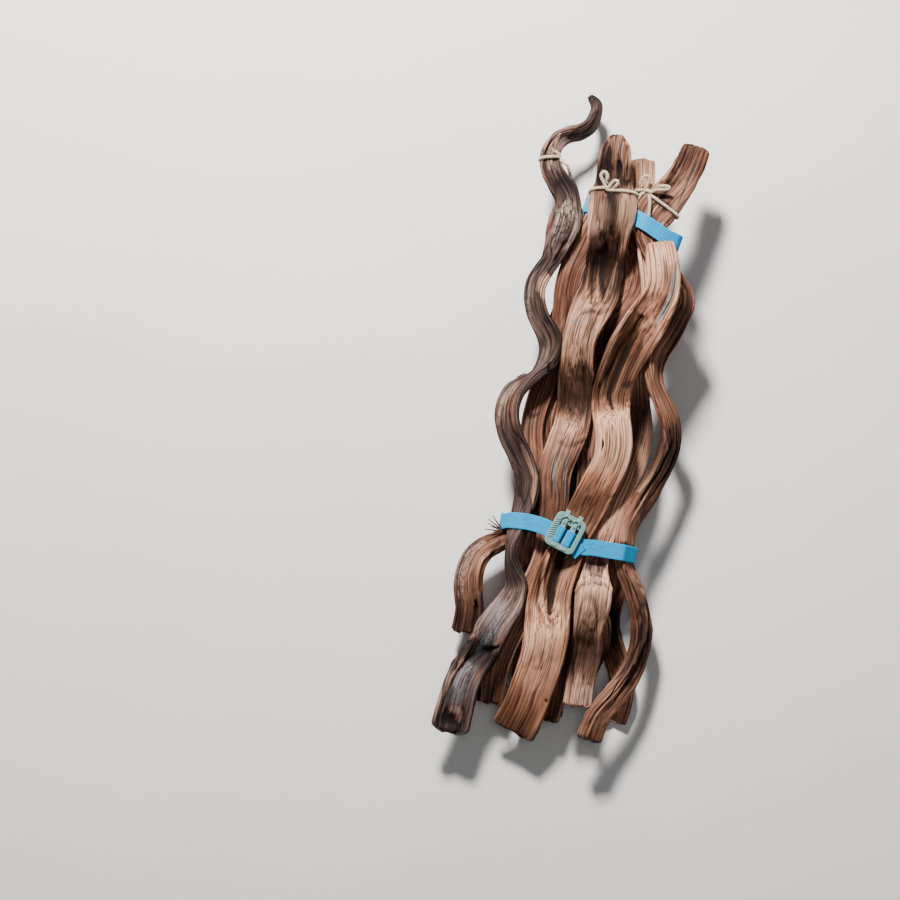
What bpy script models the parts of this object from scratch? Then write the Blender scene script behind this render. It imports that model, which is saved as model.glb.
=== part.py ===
"""A bundle of dried sabla vine, held by two flat bands with buckles, lying on its back.

Each stem is a flat woody ribbon that waves along its length. Its plan is drawn as a route of a few
points, and its height is found by laying the stems on each other, from the underside to the top.
All sizes here are in millimetres. X runs across the bundle, Y from the cut ends to the tips, Z up.
"""

import math
from dataclasses import dataclass

import bmesh
import bpy
import numpy as np
from mathutils import Vector
from mathutils.bvhtree import BVHTree

MM = 0.001

# Driving dimensions
BAND_WIDTH = 16.0
BAND_THICK = 0.8
TWINE = 2.6
GAP = 0.4
RING_SPACING = 12.5
BACK_RING_SPACING = 17.0
RING_POINTS = 12
BACK_RING_POINTS = 10
DISH = 1.6
TWINE_SPACING = 2.2
TWINE_DISH = -0.8
BAND_DISH = -0.1
SECTION_MARGIN = 3.5

# The buckle: its length along the band, its width across it, and its bars
BUCKLE_LENGTH = 32.0
BUCKLE_WIDTH = 36.0
BUCKLE_THICK = 4.5
BUCKLE_SIDE = 4.2
BUCKLE_RAIL = 4.0
BUCKLE_CORNER = 7.0
BAR_WIDTH = 5.4
BAR_CENTRE = 5.3
BAR_LOW = 0.4
BAR_THICK = 2.9
BAND_OFF_CENTRE = -4.0
PRONG = (4.6, 3.6, 2.2)
PRONG_CENTRE = 7.0
PRONG_LOW = 0.8
WINDOW_CORNER = 3.0

# How high each layer at the buckle lies over what the band goes round, and how far its tails reach
TAIL_LAYER = GAP + BAND_THICK / 2
OVER_LAYER = TAIL_LAYER + BAND_THICK + 0.3
BUCKLE_BASE = OVER_LAYER + BAND_THICK / 2 + 0.3
TAIL_LENGTH = 24.0

# How a stem lies: the least radius it bends to, its steepest climb, and how far the bends are eased
BEND_RADIUS = 130.0
STEEPEST = 0.24
EASING = 16.0

# The underside rises to each band, as the bundle is drawn in there
WAIST_Y, NECK_Y = 222.0, 522.0
WAIST_RISE, NECK_RISE = 9.0, 11.0
RISE_REACH = 48.0
FLAT_SPOT = 2.0

BARK = (0.21, 0.12, 0.08)
WARM_BARK = (0.30, 0.15, 0.09)
GREY_BARK = (0.19, 0.13, 0.10)
BAND_BLUE = (0.0, 0.42, 0.72)
BUCKLE_GREEN = (0.20, 0.42, 0.38)
JUTE = (0.56, 0.50, 0.40)


@dataclass
class Vine:
    """A stem: its route from its cut end to its tip, and its thickness.

    A route point is (x, y, width, roll, lift, hollow). Roll is in degrees, left face up. Lift raises
    the whole ribbon off the line it lies along, and hollow raises or sinks its middle further."""

    name: str
    route: list
    thick: float
    colour: tuple
    points: int = RING_POINTS
    spacing: float = RING_SPACING


@dataclass
class Band:
    """A flat band round the bundle.

    Its plane stands upright through centre, turned in plan by turn degrees. The buckle faces the
    angle facing in that plane, sits slide clockwise of the centre and is skewed by skew degrees. Drift
    lists (distance across, offset along the bundle) for the front run, and back for the run behind."""

    name: str
    centre: tuple
    turn: float
    facing: float
    slide: float
    skew: float
    drift: tuple
    back: tuple


@dataclass
class Tie:
    """A piece of twine round one stem.

    It goes once round the stem at y, and starts where it faces the angle facing. Before and after
    are its two free ends, as (across, out, along) points from there."""

    name: str
    vine: str
    y: float
    facing: float
    before: tuple
    after: tuple


INNER = Vine(
    "vine_inner",
    [(-26, 35, 18, 0, 0, 0), (-20, 66, 22, 0, 2, 0), (-11, 106, 22, 0, -2, -2), (-1, 155, 24, 0, -2, 0),
     (7, 195, 24, 0, 2, 2), (10, 235, 24, 0, 0, 0), (13, 275, 24, 0, -2, -2), (17, 316, 24, 0, 2, 2),
     (26, 356, 24, 10, 2, 0), (32, 392, 22, 20, -2, 0), (30, 415, 22, 20, -2, 0), (37, 436, 22, 20, 2, 0),
     (49, 451, 24, 15, 3, 2), (57, 468, 26, 10, 0, 0), (59, 488, 26, 10, -2, -2), (54, 509, 24, 0, 0, 0),
     (47, 530, 22, 0, 2, 0), (41, 555, 20, 0, 0, 0)],
    9.0, BARK, BACK_RING_POINTS)

ELBOW = Vine(
    "vine_elbow",
    [(-110, 124, 28, 0, 0, -4), (-106, 145, 27, 10, 0, -4), (-106, 170, 28, 25, 2, -2),
     (-101, 190, 28, 35, 3, 0), (-92, 204, 26, 40, 2, 0), (-79, 213, 23, 40, 0, 0),
     (-64, 222, 19, 40, 0, 0), (-53, 236, 18, 30, 0, 0), (-46, 257, 21, 20, 0, 0), (-42, 277, 22, 10, 2, 0),
     (-42, 300, 22, 0, 0, 0), (-43, 325, 22, 0, -2, 0), (-38, 350, 22, 0, 0, 0), (-30, 373, 24, 0, 2, 0),
     (-23, 396, 24, 0, 2, 0), (-13, 420, 24, 0, 0, 0), (-9, 445, 26, 5, -2, -2), (-7, 467, 26, 5, 0, 0),
     (-1, 490, 26, 5, 2, 0), (8, 510, 24, 0, 0, 0), (18, 531, 22, 0, 0, 0), (27, 547, 20, 0, 0, 0)],
    9.0, GREY_BARK)

SHORT = Vine(
    "vine_short",
    [(1, 50, 30, 0, 0, -2), (3, 66, 28, 0, -2, -3), (7, 88, 31, 0, -6, -6), (10, 105, 34, 0, -8, -6),
     (12, 127, 30, 0, -2, -1), (15, 149, 34, 0, 5, 4), (17, 166, 34, 0, 6, 4), (19, 182, 26, 0, 1, -2),
     (23, 204, 24, 0, -4, -4), (34, 233, 22, 0, -2, 0), (42, 253, 22, 0, 0, 0), (52, 273, 24, 0, 2, 0),
     (60, 295, 26, 0, 2, 0), (65, 313, 24, 0, 0, -2), (68, 332, 22, 0, -3, -3), (66, 352, 20, 0, -2, 0),
     (65, 382, 22, 0, 2, 0), (71, 413, 22, 0, 3, 0), (76, 443, 22, 0, 0, 0), (78, 473, 24, 0, -2, 0),
     (75, 503, 24, 0, 0, 0), (72, 529, 24, 0, 2, 0), (70, 554, 24, 0, 0, 0), (70, 580, 24, 0, 0, 0),
     (71, 602, 24, 0, 0, 0)],
    9.0, WARM_BARK)

SNAKE = Vine(
    "vine_snake",
    [(13, 17, 24, -20, 0, 0), (22, 39, 24, -25, 0, 0), (38, 61, 24, -35, 2, 0), (53, 81, 24, -45, 2, 0),
     (64, 103, 22, -50, 0, 0), (69, 127, 22, -50, -2, 0), (65, 149, 20, -50, -2, 0), (56, 170, 18, -50, 0, 0),
     (48, 194, 18, -50, 0, 0), (51, 225, 20, -50, 0, 0), (57, 239, 21, -45, 2, 0), (67, 254, 24, -40, 2, 0),
     (81, 275, 24, -40, 0, 0), (92, 295, 25, -40, -2, 0), (97, 315, 25, -40, -2, 0), (94, 333, 24, -40, 0, 0),
     (86, 349, 22, -50, 2, 0), (78, 367, 20, -55, 2, 0), (77, 383, 22, -50, 0, 0), (82, 400, 25, -40, -2, 0),
     (93, 418, 26, -40, -2, 0), (102, 437, 24, -40, 0, 0), (107, 453, 22, -45, 2, 0), (98, 470, 20, -40, 2, 0),
     (85, 490, 22, -30, 0, 0), (77, 508, 24, -20, -2, 0), (75, 524, 29, -10, -2, 0), (79, 539, 38, 0, 0, 0),
     (92, 555, 38, 0, 2, 1), (106, 573, 33, -5, 2, 0), (116, 590, 31, -5, 0, -2), (122, 604, 28, 0, 0, -2),
     (125, 612, 27, 0, 0, -1)],
    12.0, BARK)

LADDER = Vine(
    "vine_ladder",
    [(-83, 53, 22, 0, 0, 0), (-76, 96, 24, 0, 0, 0), (-49, 154, 26, 0, 0, 0), (-31, 193, 26, 0, 0, 0),
     (-24, 231, 27, 0, -6, 0), (-21, 254, 30, 0, -3, -1), (-20, 282, 34, 0, 3, 2), (-12, 307, 36, 0, 6, 4),
     (-4, 327, 36, 0, 2, 0), (0, 349, 35, 0, -6, -9), (1, 372, 36, 0, -3, -7), (2, 400, 32, 0, 4, 0),
     (6, 422, 34, 0, 8, 4), (14, 442, 40, 0, 5, 2), (23, 460, 42, 0, 0, -2), (29, 482, 38, 0, -7, -6),
     (31, 502, 40, 0, -2, -4), (33, 520, 43, 0, 5, 3), (36, 538, 48, 0, 7, 6), (38, 555, 46, 0, 2, 3),
     (39, 575, 36, 0, -2, -3), (40, 596, 33, 0, 2, 0), (42, 612, 26, 0, 2, 2), (43, 621, 18, 0, 0, 3)],
    9.0, BARK)

CURL = Vine(
    "vine_curl",
    [(-126, 24, 38, 0, 0, -2), (-119, 52, 36, 0, 0, -4), (-110, 80, 33, 10, -2, -2), (-95, 104, 34, 20, -4, -9),
     (-81, 127, 36, 25, 3, 5), (-64, 151, 30, 25, 5, 4), (-58, 170, 24, 35, 2, 0), (-63, 189, 20, 60, 0, 0),
     (-64, 204, 22, 75, 0, 0), (-59, 226, 24, 55, 0, 0), (-51, 254, 25, 30, 0, -3), (-48, 276, 25, 20, 0, -4),
     (-55, 299, 24, 15, 0, -3), (-64, 322, 25, 20, 2, -1), (-66, 344, 25, 25, 3, 0), (-57, 364, 24, 45, 2, 0),
     (-40, 378, 22, 75, 0, 0), (-28, 397, 22, 45, -2, -2), (-26, 417, 23, 20, -3, -4), (-35, 437, 20, 10, 0, -2),
     (-40, 459, 20, 5, 3, 0), (-36, 478, 20, 0, 2, 0), (-26, 492, 19, 0, -1, 0), (-18, 510, 25, 0, 0, 2),
     (-10, 532, 33, 0, 2, 3), (-6, 550, 26, 10, 0, 0), (-8, 566, 24, 20, -2, -2), (-18, 584, 22, 15, 0, -2),
     (-23, 601, 19, 0, 2, 0), (-20, 616, 16, -20, 3, 0), (-9, 629, 18, -50, 2, 0), (6, 633, 20, -60, 1, 0),
     (18, 640, 20, -60, 0, 0), (25, 654, 16, -60, 0, 0), (26, 665, 11, -50, 0, 0), (20, 675, 5, -30, 0, 0)],
    9.0, GREY_BARK)

BROAD = Vine(
    "vine_broad",
    [(-63, 25, 46, 0, -4, 0), (-51, 49, 44, 0, 0, 0), (-42, 74, 43, 0, 4, 2), (-35, 95, 44, 0, 6, 3),
     (-31, 115, 45, 0, 7, 3), (-29, 137, 45, 0, 5, -4), (-27, 156, 43, 0, 2, -12), (-21, 178, 40, 0, -2, -12),
     (-12, 199, 36, 0, -6, -9), (-3, 219, 34, 0, -9, -6), (6, 236, 36, 0, -8, -4), (14, 251, 37, 0, -4, -2),
     (23, 269, 36, 0, 2, 0), (33, 289, 35, 0, 7, 3), (37, 310, 36, 0, 8, 4), (35, 330, 36, 0, 5, 1),
     (34, 345, 38, 0, 0, -8), (36, 362, 38, 0, -5, -14), (44, 385, 40, 0, -7, -15), (54, 405, 43, 0, -7, -13),
     (66, 424, 42, 0, -4, -8), (78, 444, 38, -5, 0, -3), (85, 464, 34, -5, 5, 2), (84, 488, 33, -8, 4, 2),
     (82, 507, 28, -10, 0, 0)],
    8.5, WARM_BARK)

LOWER_BAND = Band(
    "band_lower", (-13, 217), -10.0, 90.0, 0.0, -18.0,
    drift=((-70, 8.5), (-32, 8.5), (-13, 4.0), (13, -4.0), (24, -5.5), (70, -5.0)),
    back=((-70, 8.5), (70, -5.0)))

UPPER_BAND = Band(
    "band_upper", (70, 524), -20.0, 206.0, 58.0, 0.0,
    drift=((-60, 8), (-22, 8), (22, -3), (60, -3)),
    back=((-60, 8), (60, -3)))

CURL_TIE = Tie(
    "twine_curl", "vine_curl", 601, 60,
    before=((10.0, -9.0, -14.0), (8.5, -3.0, -12.0), (7.0, 1.0, -7.0), (3.0, 2.0, -4.0)),
    after=((-3.0, 2.2, 3.0), (-6.0, 2.0, 5.0)))

HOOK_TIE = Tie(
    "twine_hook", "vine_ladder", 558, 90,
    before=((9.0, 3.0, 3.0), (12.0, 6.0, 6.0), (8.0, 6.5, 8.0), (4.0, 3.0, 4.0)),
    after=((-3.0, 3.0, 5.0), (-6.0, 6.0, 11.0), (-2.0, 8.0, 14.0), (1.0, 6.5, 10.0), (0.0, 4.5, 6.0)))

MIDDLE_TIE = Tie(
    "twine_middle", "vine_short", 569, 90,
    before=((-6.0, 1.0, -7.0), (-4.5, 2.5, -4.0)),
    after=((3.5, 3.5, 5.0), (5.0, 6.5, 11.0), (0.0, 7.5, 12.0), (-3.0, 5.5, 7.0)))

RIGHT_TIE = Tie(
    "twine_right", "vine_snake", 545, 110,
    before=((14.0, 3.0, -20.0), (9.0, 3.5, -12.0), (4.0, 3.0, -5.0)),
    after=((3.0, 4.0, 4.0), (10.0, 7.0, 9.0), (13.0, 8.0, 13.0), (7.0, 8.0, 11.0), (3.0, 6.0, 8.0)))

# The back of the bundle: each stem's distance across at its foot, waist, belly and neck, where it
# starts and ends, and its width
BACK_LANES = [
    ("vine_back_1", (-88, -40, -26, 25), 56, 506, 27),
    ("vine_back_2", (-22, -3, 14, 46), 40, 560, 28),
    ("vine_back_3", (44, 34, 62, 71), 34, 548, 27),
    ("vine_back_4", (-55, -24, -10, 35), 24, 540, 29),
    ("vine_back_5", (12, 20, 44, 60), 66, 524, 27),
]
LANE_SWAY = 7.0
LANE_WAVELENGTH = 118.0


def unit(vector):
    return vector / np.linalg.norm(vector)


def smooth_line(points, spacing, flat=2):
    """Evenly spaced samples of a smooth curve through the points, measured along their first columns."""
    points = np.array(points, float)
    steps = np.linalg.norm(np.diff(points[:, :flat], axis=0), axis=1) ** 0.5
    knots = np.concatenate([[0.0], np.cumsum(steps)])
    before = 2 * points[0] - points[1]
    after = 2 * points[-1] - points[-2]
    padded = np.vstack([before, points, after])
    padded_knots = np.concatenate([[-steps[0]], knots, [knots[-1] + steps[-1]]])
    slopes = (padded[2:] - padded[:-2]) / (padded_knots[2:] - padded_knots[:-2])[:, None]
    at = np.linspace(0, knots[-1], 40 * len(points))
    k = np.clip(np.searchsorted(knots, at, side="right") - 1, 0, len(steps) - 1)
    span = steps[k][:, None]
    t = ((at - knots[k]) / steps[k])[:, None]
    dense = (
        (2 * t**3 - 3 * t**2 + 1) * points[k]
        + (t**3 - 2 * t**2 + t) * span * slopes[k]
        + (-2 * t**3 + 3 * t**2) * points[k + 1]
        + (t**3 - t**2) * span * slopes[k + 1]
    )
    moves = np.linalg.norm(np.diff(dense[:, :flat], axis=0), axis=1)
    length = np.concatenate([[0.0], np.cumsum(moves)])
    count = max(4, round(length[-1] / spacing)) + 1
    even = np.linspace(0, length[-1], count)
    return np.stack([np.interp(even, length, column) for column in dense.T], axis=1)


def frames(path, roll):
    """The across and outward directions at each point of a path, turned about it by roll (radians)."""
    tangent = np.gradient(path, axis=0)
    tangent /= np.linalg.norm(tangent, axis=1)[:, None]
    across = np.cross(tangent, (0.0, 0.0, 1.0))
    across /= np.linalg.norm(across, axis=1)[:, None]
    outward = np.cross(across, tangent)
    c, s = np.cos(roll)[:, None], np.sin(roll)[:, None]
    return across * c + outward * s, outward * c - across * s


def signed_power(value, power):
    return np.sign(value) * np.abs(value) ** power


def vine_rings(vine):
    """The stem's cross-sections as an array of rings, at no height yet."""
    line = smooth_line(vine.route, vine.spacing)
    width, roll, lift, hollow = line[:, 2], np.radians(line[:, 3]), line[:, 4], line[:, 5]
    path = np.column_stack([line[:, :2], np.zeros(len(line))])
    _, outward = frames(path, roll)
    path = path + outward * lift[:, None]
    across, outward = frames(path, roll)
    turn = 2 * math.pi * (np.arange(vine.points) + 0.5) / vine.points
    u = signed_power(np.cos(turn), 0.75)[None, :]
    v = signed_power(np.sin(turn), 0.62)[None, :]
    rim = 0.82 + 0.28 * u**2
    sideways = 0.5 * width[:, None] * u
    out = 0.5 * vine.thick * v * rim + hollow[:, None] * (1 - u**2) ** 1.5
    return path[:, None, :] + across[:, None, :] * sideways[..., None] + outward[:, None, :] * out[..., None]


def tube_mesh(rings, dish):
    """Vertices and faces of a closed tube, its ends hollowed by dish (or raised, where it is negative)."""
    count = rings.shape[1]
    side = np.arange(count)
    after = (side + 1) % count
    faces = []
    for low in range(0, (len(rings) - 1) * count, count):
        for a, b in zip(side.tolist(), after.tolist()):
            faces.append((low + a, low + count + a, low + count + b))
            faces.append((low + a, low + count + b, low + b))
    first = len(rings) * count
    top = first - count
    faces += [(a, b, first) for a, b in zip(side.tolist(), after.tolist())]
    faces += [(top + b, top + a, first + 1) for a, b in zip(side.tolist(), after.tolist())]
    centres = rings.mean(axis=1)
    start = centres[0] + dish * unit(centres[1] - centres[0])
    end = centres[-1] + dish * unit(centres[-2] - centres[-1])
    return np.vstack([rings.reshape(-1, 3), start, end]), faces


def between(rings, along, around):
    """The surface of a tube of rings, sampled finer along it and around it, on the mesh's own triangles."""
    m = np.linspace(0, len(rings) - 1, (len(rings) - 1) * along + 1)
    row = np.minimum(m.astype(int), len(rings) - 2)
    s = (m - row)[:, None, None]
    n = np.linspace(0, rings.shape[1], rings.shape[1] * around, endpoint=False)
    column = n.astype(int)
    t = (n - column)[None, :, None]
    closed = np.concatenate([rings, rings[:, :1]], axis=1)
    here, far = closed[row][:, column], closed[row + 1][:, column + 1]
    third = np.where(s > t, closed[row + 1][:, column], closed[row][:, column + 1])
    return here * (1 - np.maximum(s, t)) + far * np.minimum(s, t) + third * abs(s - t)


class Pile:
    """The pieces laid so far, and the shape of the bundle's underside beneath them."""

    def __init__(self):
        self.points = np.zeros((0, 3))
        self.faces = []
        self.samples = np.zeros((0, 3))
        self.tree = None
        self.pieces = {}

    def add(self, name, rings, dish):
        points, faces = tube_mesh(rings, dish)
        self.pieces[name] = (points, faces)
        start = len(self.points)
        self.points = np.vstack([self.points, points])
        self.faces += [tuple(i + start for i in face) for face in faces]
        self.samples = np.vstack([self.samples, between(rings, 5, 3).reshape(-1, 3)])
        self.tree = BVHTree.FromPolygons(self.points.tolist(), self.faces)

    def top(self, x, y):
        """The height of whatever lies topmost at x, y."""
        height = underside(x, y)
        if self.tree is not None:
            hit = self.tree.ray_cast(Vector((x, y, 1000.0)), Vector((0, 0, -1)))[0]
            if hit is not None:
                height = max(height, hit.z)
        return height

    def clearance(self, rings):
        """The least upright distance from a piece down to the pile."""
        least = min(z - self.top(x, y) for x, y, z in between(rings, 5, 3).reshape(-1, 3))
        points, faces = tube_mesh(rings, DISH)
        low, high = points.min(axis=0), points.max(axis=0)
        tree = BVHTree.FromPolygons(points.tolist(), faces)
        near = (self.samples[:, :2] > low[:2]).all(axis=1) & (self.samples[:, :2] < high[:2]).all(axis=1)
        for x, y, z in self.samples[near]:
            hit = tree.ray_cast(Vector((x, y, -1000.0)), Vector((0, 0, 1)))[0]
            if hit is not None:
                least = min(least, hit.z - z)
        return least


def axis_x(y):
    """How far across the bundle's own axis is at that distance along it."""
    return -7.0 + 0.2 * (y - WAIST_Y)


def underside(x, y):
    """The height of the bundle's underside: the floor, drawn up round the two bands."""
    waist = WAIST_RISE * math.exp(-(((y - WAIST_Y) / RISE_REACH) ** 2))
    neck = NECK_RISE * math.exp(-(((y - NECK_Y) / RISE_REACH) ** 2))
    sideways = (x - axis_x(y)) / 62.0
    return waist * (1 + 1.3 * sideways**2) + neck * (1 + sideways**2)


def slack(y):
    """How loose the bundle is at that distance along it: none at the bands, one away from them."""
    tight = sum(math.exp(-(((y - place) / RISE_REACH) ** 2)) for place in (WAIST_Y, NECK_Y))
    return max(0.0, 1.0 - tight)


def blurred(values, reach):
    """A running average with a bell-shaped weight, reach samples wide."""
    size = max(1, int(3 * reach))
    weight = np.exp(-0.5 * (np.arange(-size, size + 1) / reach) ** 2)
    padded = np.pad(values, size, mode="reflect", reflect_type="odd")
    return np.convolve(padded, weight / weight.sum(), mode="valid")


def resting_line(needed, step):
    """A line above every needed height that is no steeper and no more bent than a stem can be."""
    count = len(needed)
    distance = np.abs(np.arange(count)[:, None] - np.arange(count)[None, :]) * step
    bend = np.where(distance < STEEPEST * BEND_RADIUS,
                    distance**2 / (2 * BEND_RADIUS),
                    STEEPEST * distance - STEEPEST**2 * BEND_RADIUS / 2)
    line = (needed[None, :] - bend).max(axis=1)
    for _ in range(4):
        eased = blurred(line, EASING / step)
        short = np.maximum(needed - eased, 0.0)
        line = eased + (short[None, :] - bend / 3).max(axis=1).clip(0.0)
    return line


def lay(vine, pile, ties=()):
    """Lays a stem on the pile, with room beneath it for the twine round it."""
    rings = vine_rings(vine)
    fine, around = 4, 2
    samples = between(rings, fine, around)
    needed = np.array([max(pile.top(x, y) + GAP - z for x, y, z in ring) for ring in samples])
    along = samples.mean(axis=1)[:, 1]
    for tie in ties:
        needed += (TWINE + 2 * GAP) * np.exp(-(((along - tie.y) / 9.0) ** 2))
    rings[..., 2] += resting_line(needed, vine.spacing / fine)[::fine, None]
    spare = pile.clearance(rings) - GAP
    rings[..., 2] -= min(spare, 0.0) if ties else spare
    pile.add(vine.name, rings, DISH)
    for tie in ties:
        pile.add(tie.name, tie_rings(tie, rings), TWINE_DISH)


def back_vines():
    """The stems of the back, each swaying about its own lane."""
    vines = []
    for k, (name, lanes, start, end, width) in enumerate(BACK_LANES):
        stops = (start, WAIST_Y, 0.5 * (WAIST_Y + NECK_Y), NECK_Y)
        length = 92.0 + 7 * k
        route = []
        for y in np.linspace(start, end, 24):
            sway = LANE_SWAY * math.sin(2 * math.pi * y / LANE_WAVELENGTH + 1.9 * k) * (0.4 + 0.6 * slack(y))
            x = np.interp(y, stops, lanes) + sway
            roll = 18 * math.sin(2 * math.pi * y / 210 + 2.3 * k)
            wave = math.cos(2 * math.pi * (y - 20.0 - 31 * k) / length)
            route.append((x, y, width * (1 + 0.1 * math.sin(y / 31 + k)), roll, 4.0 * wave, 4.5 * wave))
        thick = 9.0 + 0.5 * (k % 3)
        vines.append(Vine(name, route, thick, BARK, BACK_RING_POINTS, BACK_RING_SPACING))
    return vines


def hull(points):
    """The convex hull of flat points, anticlockwise."""
    points = sorted({(round(float(a), 4), round(float(b), 4)) for a, b in points})
    chains = []
    for order in (points, points[::-1]):
        chain = []
        for p in order:
            while len(chain) > 1:
                a, b = chain[-2], chain[-1]
                if (b[0] - a[0]) * (p[1] - a[1]) - (b[1] - a[1]) * (p[0] - a[0]) > 1e-9:
                    break
                chain.pop()
            chain.append(p)
        chains.append(chain[:-1])
    return np.array(chains[0] + chains[1])


class Loop:
    """A closed line round a hull, measured from where it faces a given angle."""

    def __init__(self, corners, facing, slide=None, flat=0.0):
        out = np.array([math.cos(facing), math.sin(facing)])
        side = np.array([out[1], -out[0]])
        reach = (corners @ out).max()
        middle = corners[(corners @ out) > reach - 0.01].mean(axis=0)
        if slide is not None:
            middle = out * reach + side * slide
            corners = hull(np.vstack([corners, middle + side * flat, middle - side * flat]))
        corners = corners[::-1]
        edge = np.roll(corners, -1, axis=0) - corners
        length = np.linalg.norm(edge, axis=1)
        start = next(
            i for i in np.argsort(-(corners @ out)) if length[i] > 0.05
            and (middle - corners[i]) @ unit(edge[i]) >= -1e-3
            and (middle - corners[i]) @ unit(edge[i]) <= length[i] + 1e-3)
        order = [(start + i) % len(corners) for i in range(len(corners))]
        self.points = corners[order]
        self.ways = edge[order] / np.maximum(length[order], 1e-9)[:, None]
        self.starts = np.concatenate([[0.0], np.cumsum(length[order])])
        self.perimeter = self.starts[-1]
        self.zero = (middle - self.points[0]) @ self.ways[0]

    def edge_at(self, distance):
        """The edge that lies at that distance clockwise from the start, and how far along it."""
        s = (distance + self.zero) % self.perimeter
        k = min(np.searchsorted(self.starts, s, side="right") - 1, len(self.points) - 1)
        return k, s - self.starts[k]

    def way(self, distance, ease):
        """The line's direction there, eased over a short stretch."""
        steps = np.linspace(-ease, ease, 5)
        return unit(sum(self.ways[self.edge_at(distance + step)[0]] for step in steps))

    def at(self, distance, height, ease=3.0):
        """The point that lies height over the line, that distance clockwise from its start."""
        k, part = self.edge_at(distance)
        way = self.way(distance, ease)
        return self.points[k] + self.ways[k] * part + height * np.array([-way[1], way[0]])

    def stops(self, start, end, spacing):
        """Distances from start to end that are spaced evenly and include every corner."""
        corners = [c - self.zero for c in self.starts if start + 1 < c - self.zero < end - 1]
        knots = [start, *corners, end]
        stops = []
        for a, b in zip(knots, knots[1:]):
            if b - a > 0.3 or b == end:
                stops += np.linspace(a, b, max(1, round((b - a) / spacing)), endpoint=False).tolist()
        return [*stops, end]


def tie_rings(tie, stem):
    """The rings of a piece of twine tied round a stem."""
    centres = stem.mean(axis=1)
    k = int(np.argmin(abs(centres[2:-2, 1] - tie.y))) + 2
    along = unit(centres[k + 1] - centres[k - 1])
    across = unit(np.cross(along, (0.0, 0.0, 1.0)))
    out = np.cross(across, along)
    local = (between(stem[max(0, k - 3):k + 4], 12, 4).reshape(-1, 3) - centres[k]) @ np.array([across, out, along]).T
    near = local[abs(local[:, 2]) < TWINE + GAP]
    loop = Loop(hull(near[:, :2]), math.radians(tie.facing))
    height = TWINE / 2 + 1.4 * GAP
    turns = np.linspace(0, loop.perimeter, round(loop.perimeter / TWINE_SPACING))
    pitch = TWINE + 0.6
    ring = [(*loop.at(s, height), pitch * (s / loop.perimeter - 0.5)) for s in turns]
    start, end = np.array(ring[0]), np.array(ring[-1])
    route = [start + p for p in map(np.array, tie.before)] + ring + [end + p for p in map(np.array, tie.after)]
    line = smooth_line(route, TWINE_SPACING, 3)
    path = centres[k] + line @ np.array([across, out, along])
    return round_rings(path, TWINE / 2, 6)


def round_rings(path, radius, sides):
    """Rings of a round tube along a path, without twist."""
    tangent = np.gradient(path, axis=0)
    tangent /= np.linalg.norm(tangent, axis=1)[:, None]
    side = unit(np.cross(tangent[0], (0.3, 0.5, 0.8)))
    turn = 2 * math.pi * np.arange(sides) / sides
    rings = []
    for point, way in zip(path, tangent):
        side = unit(side - way * (side @ way))
        other = np.cross(way, side)
        rings.append(point + radius * (np.cos(turn)[:, None] * side + np.sin(turn)[:, None] * other))
    return np.array(rings)


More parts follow.
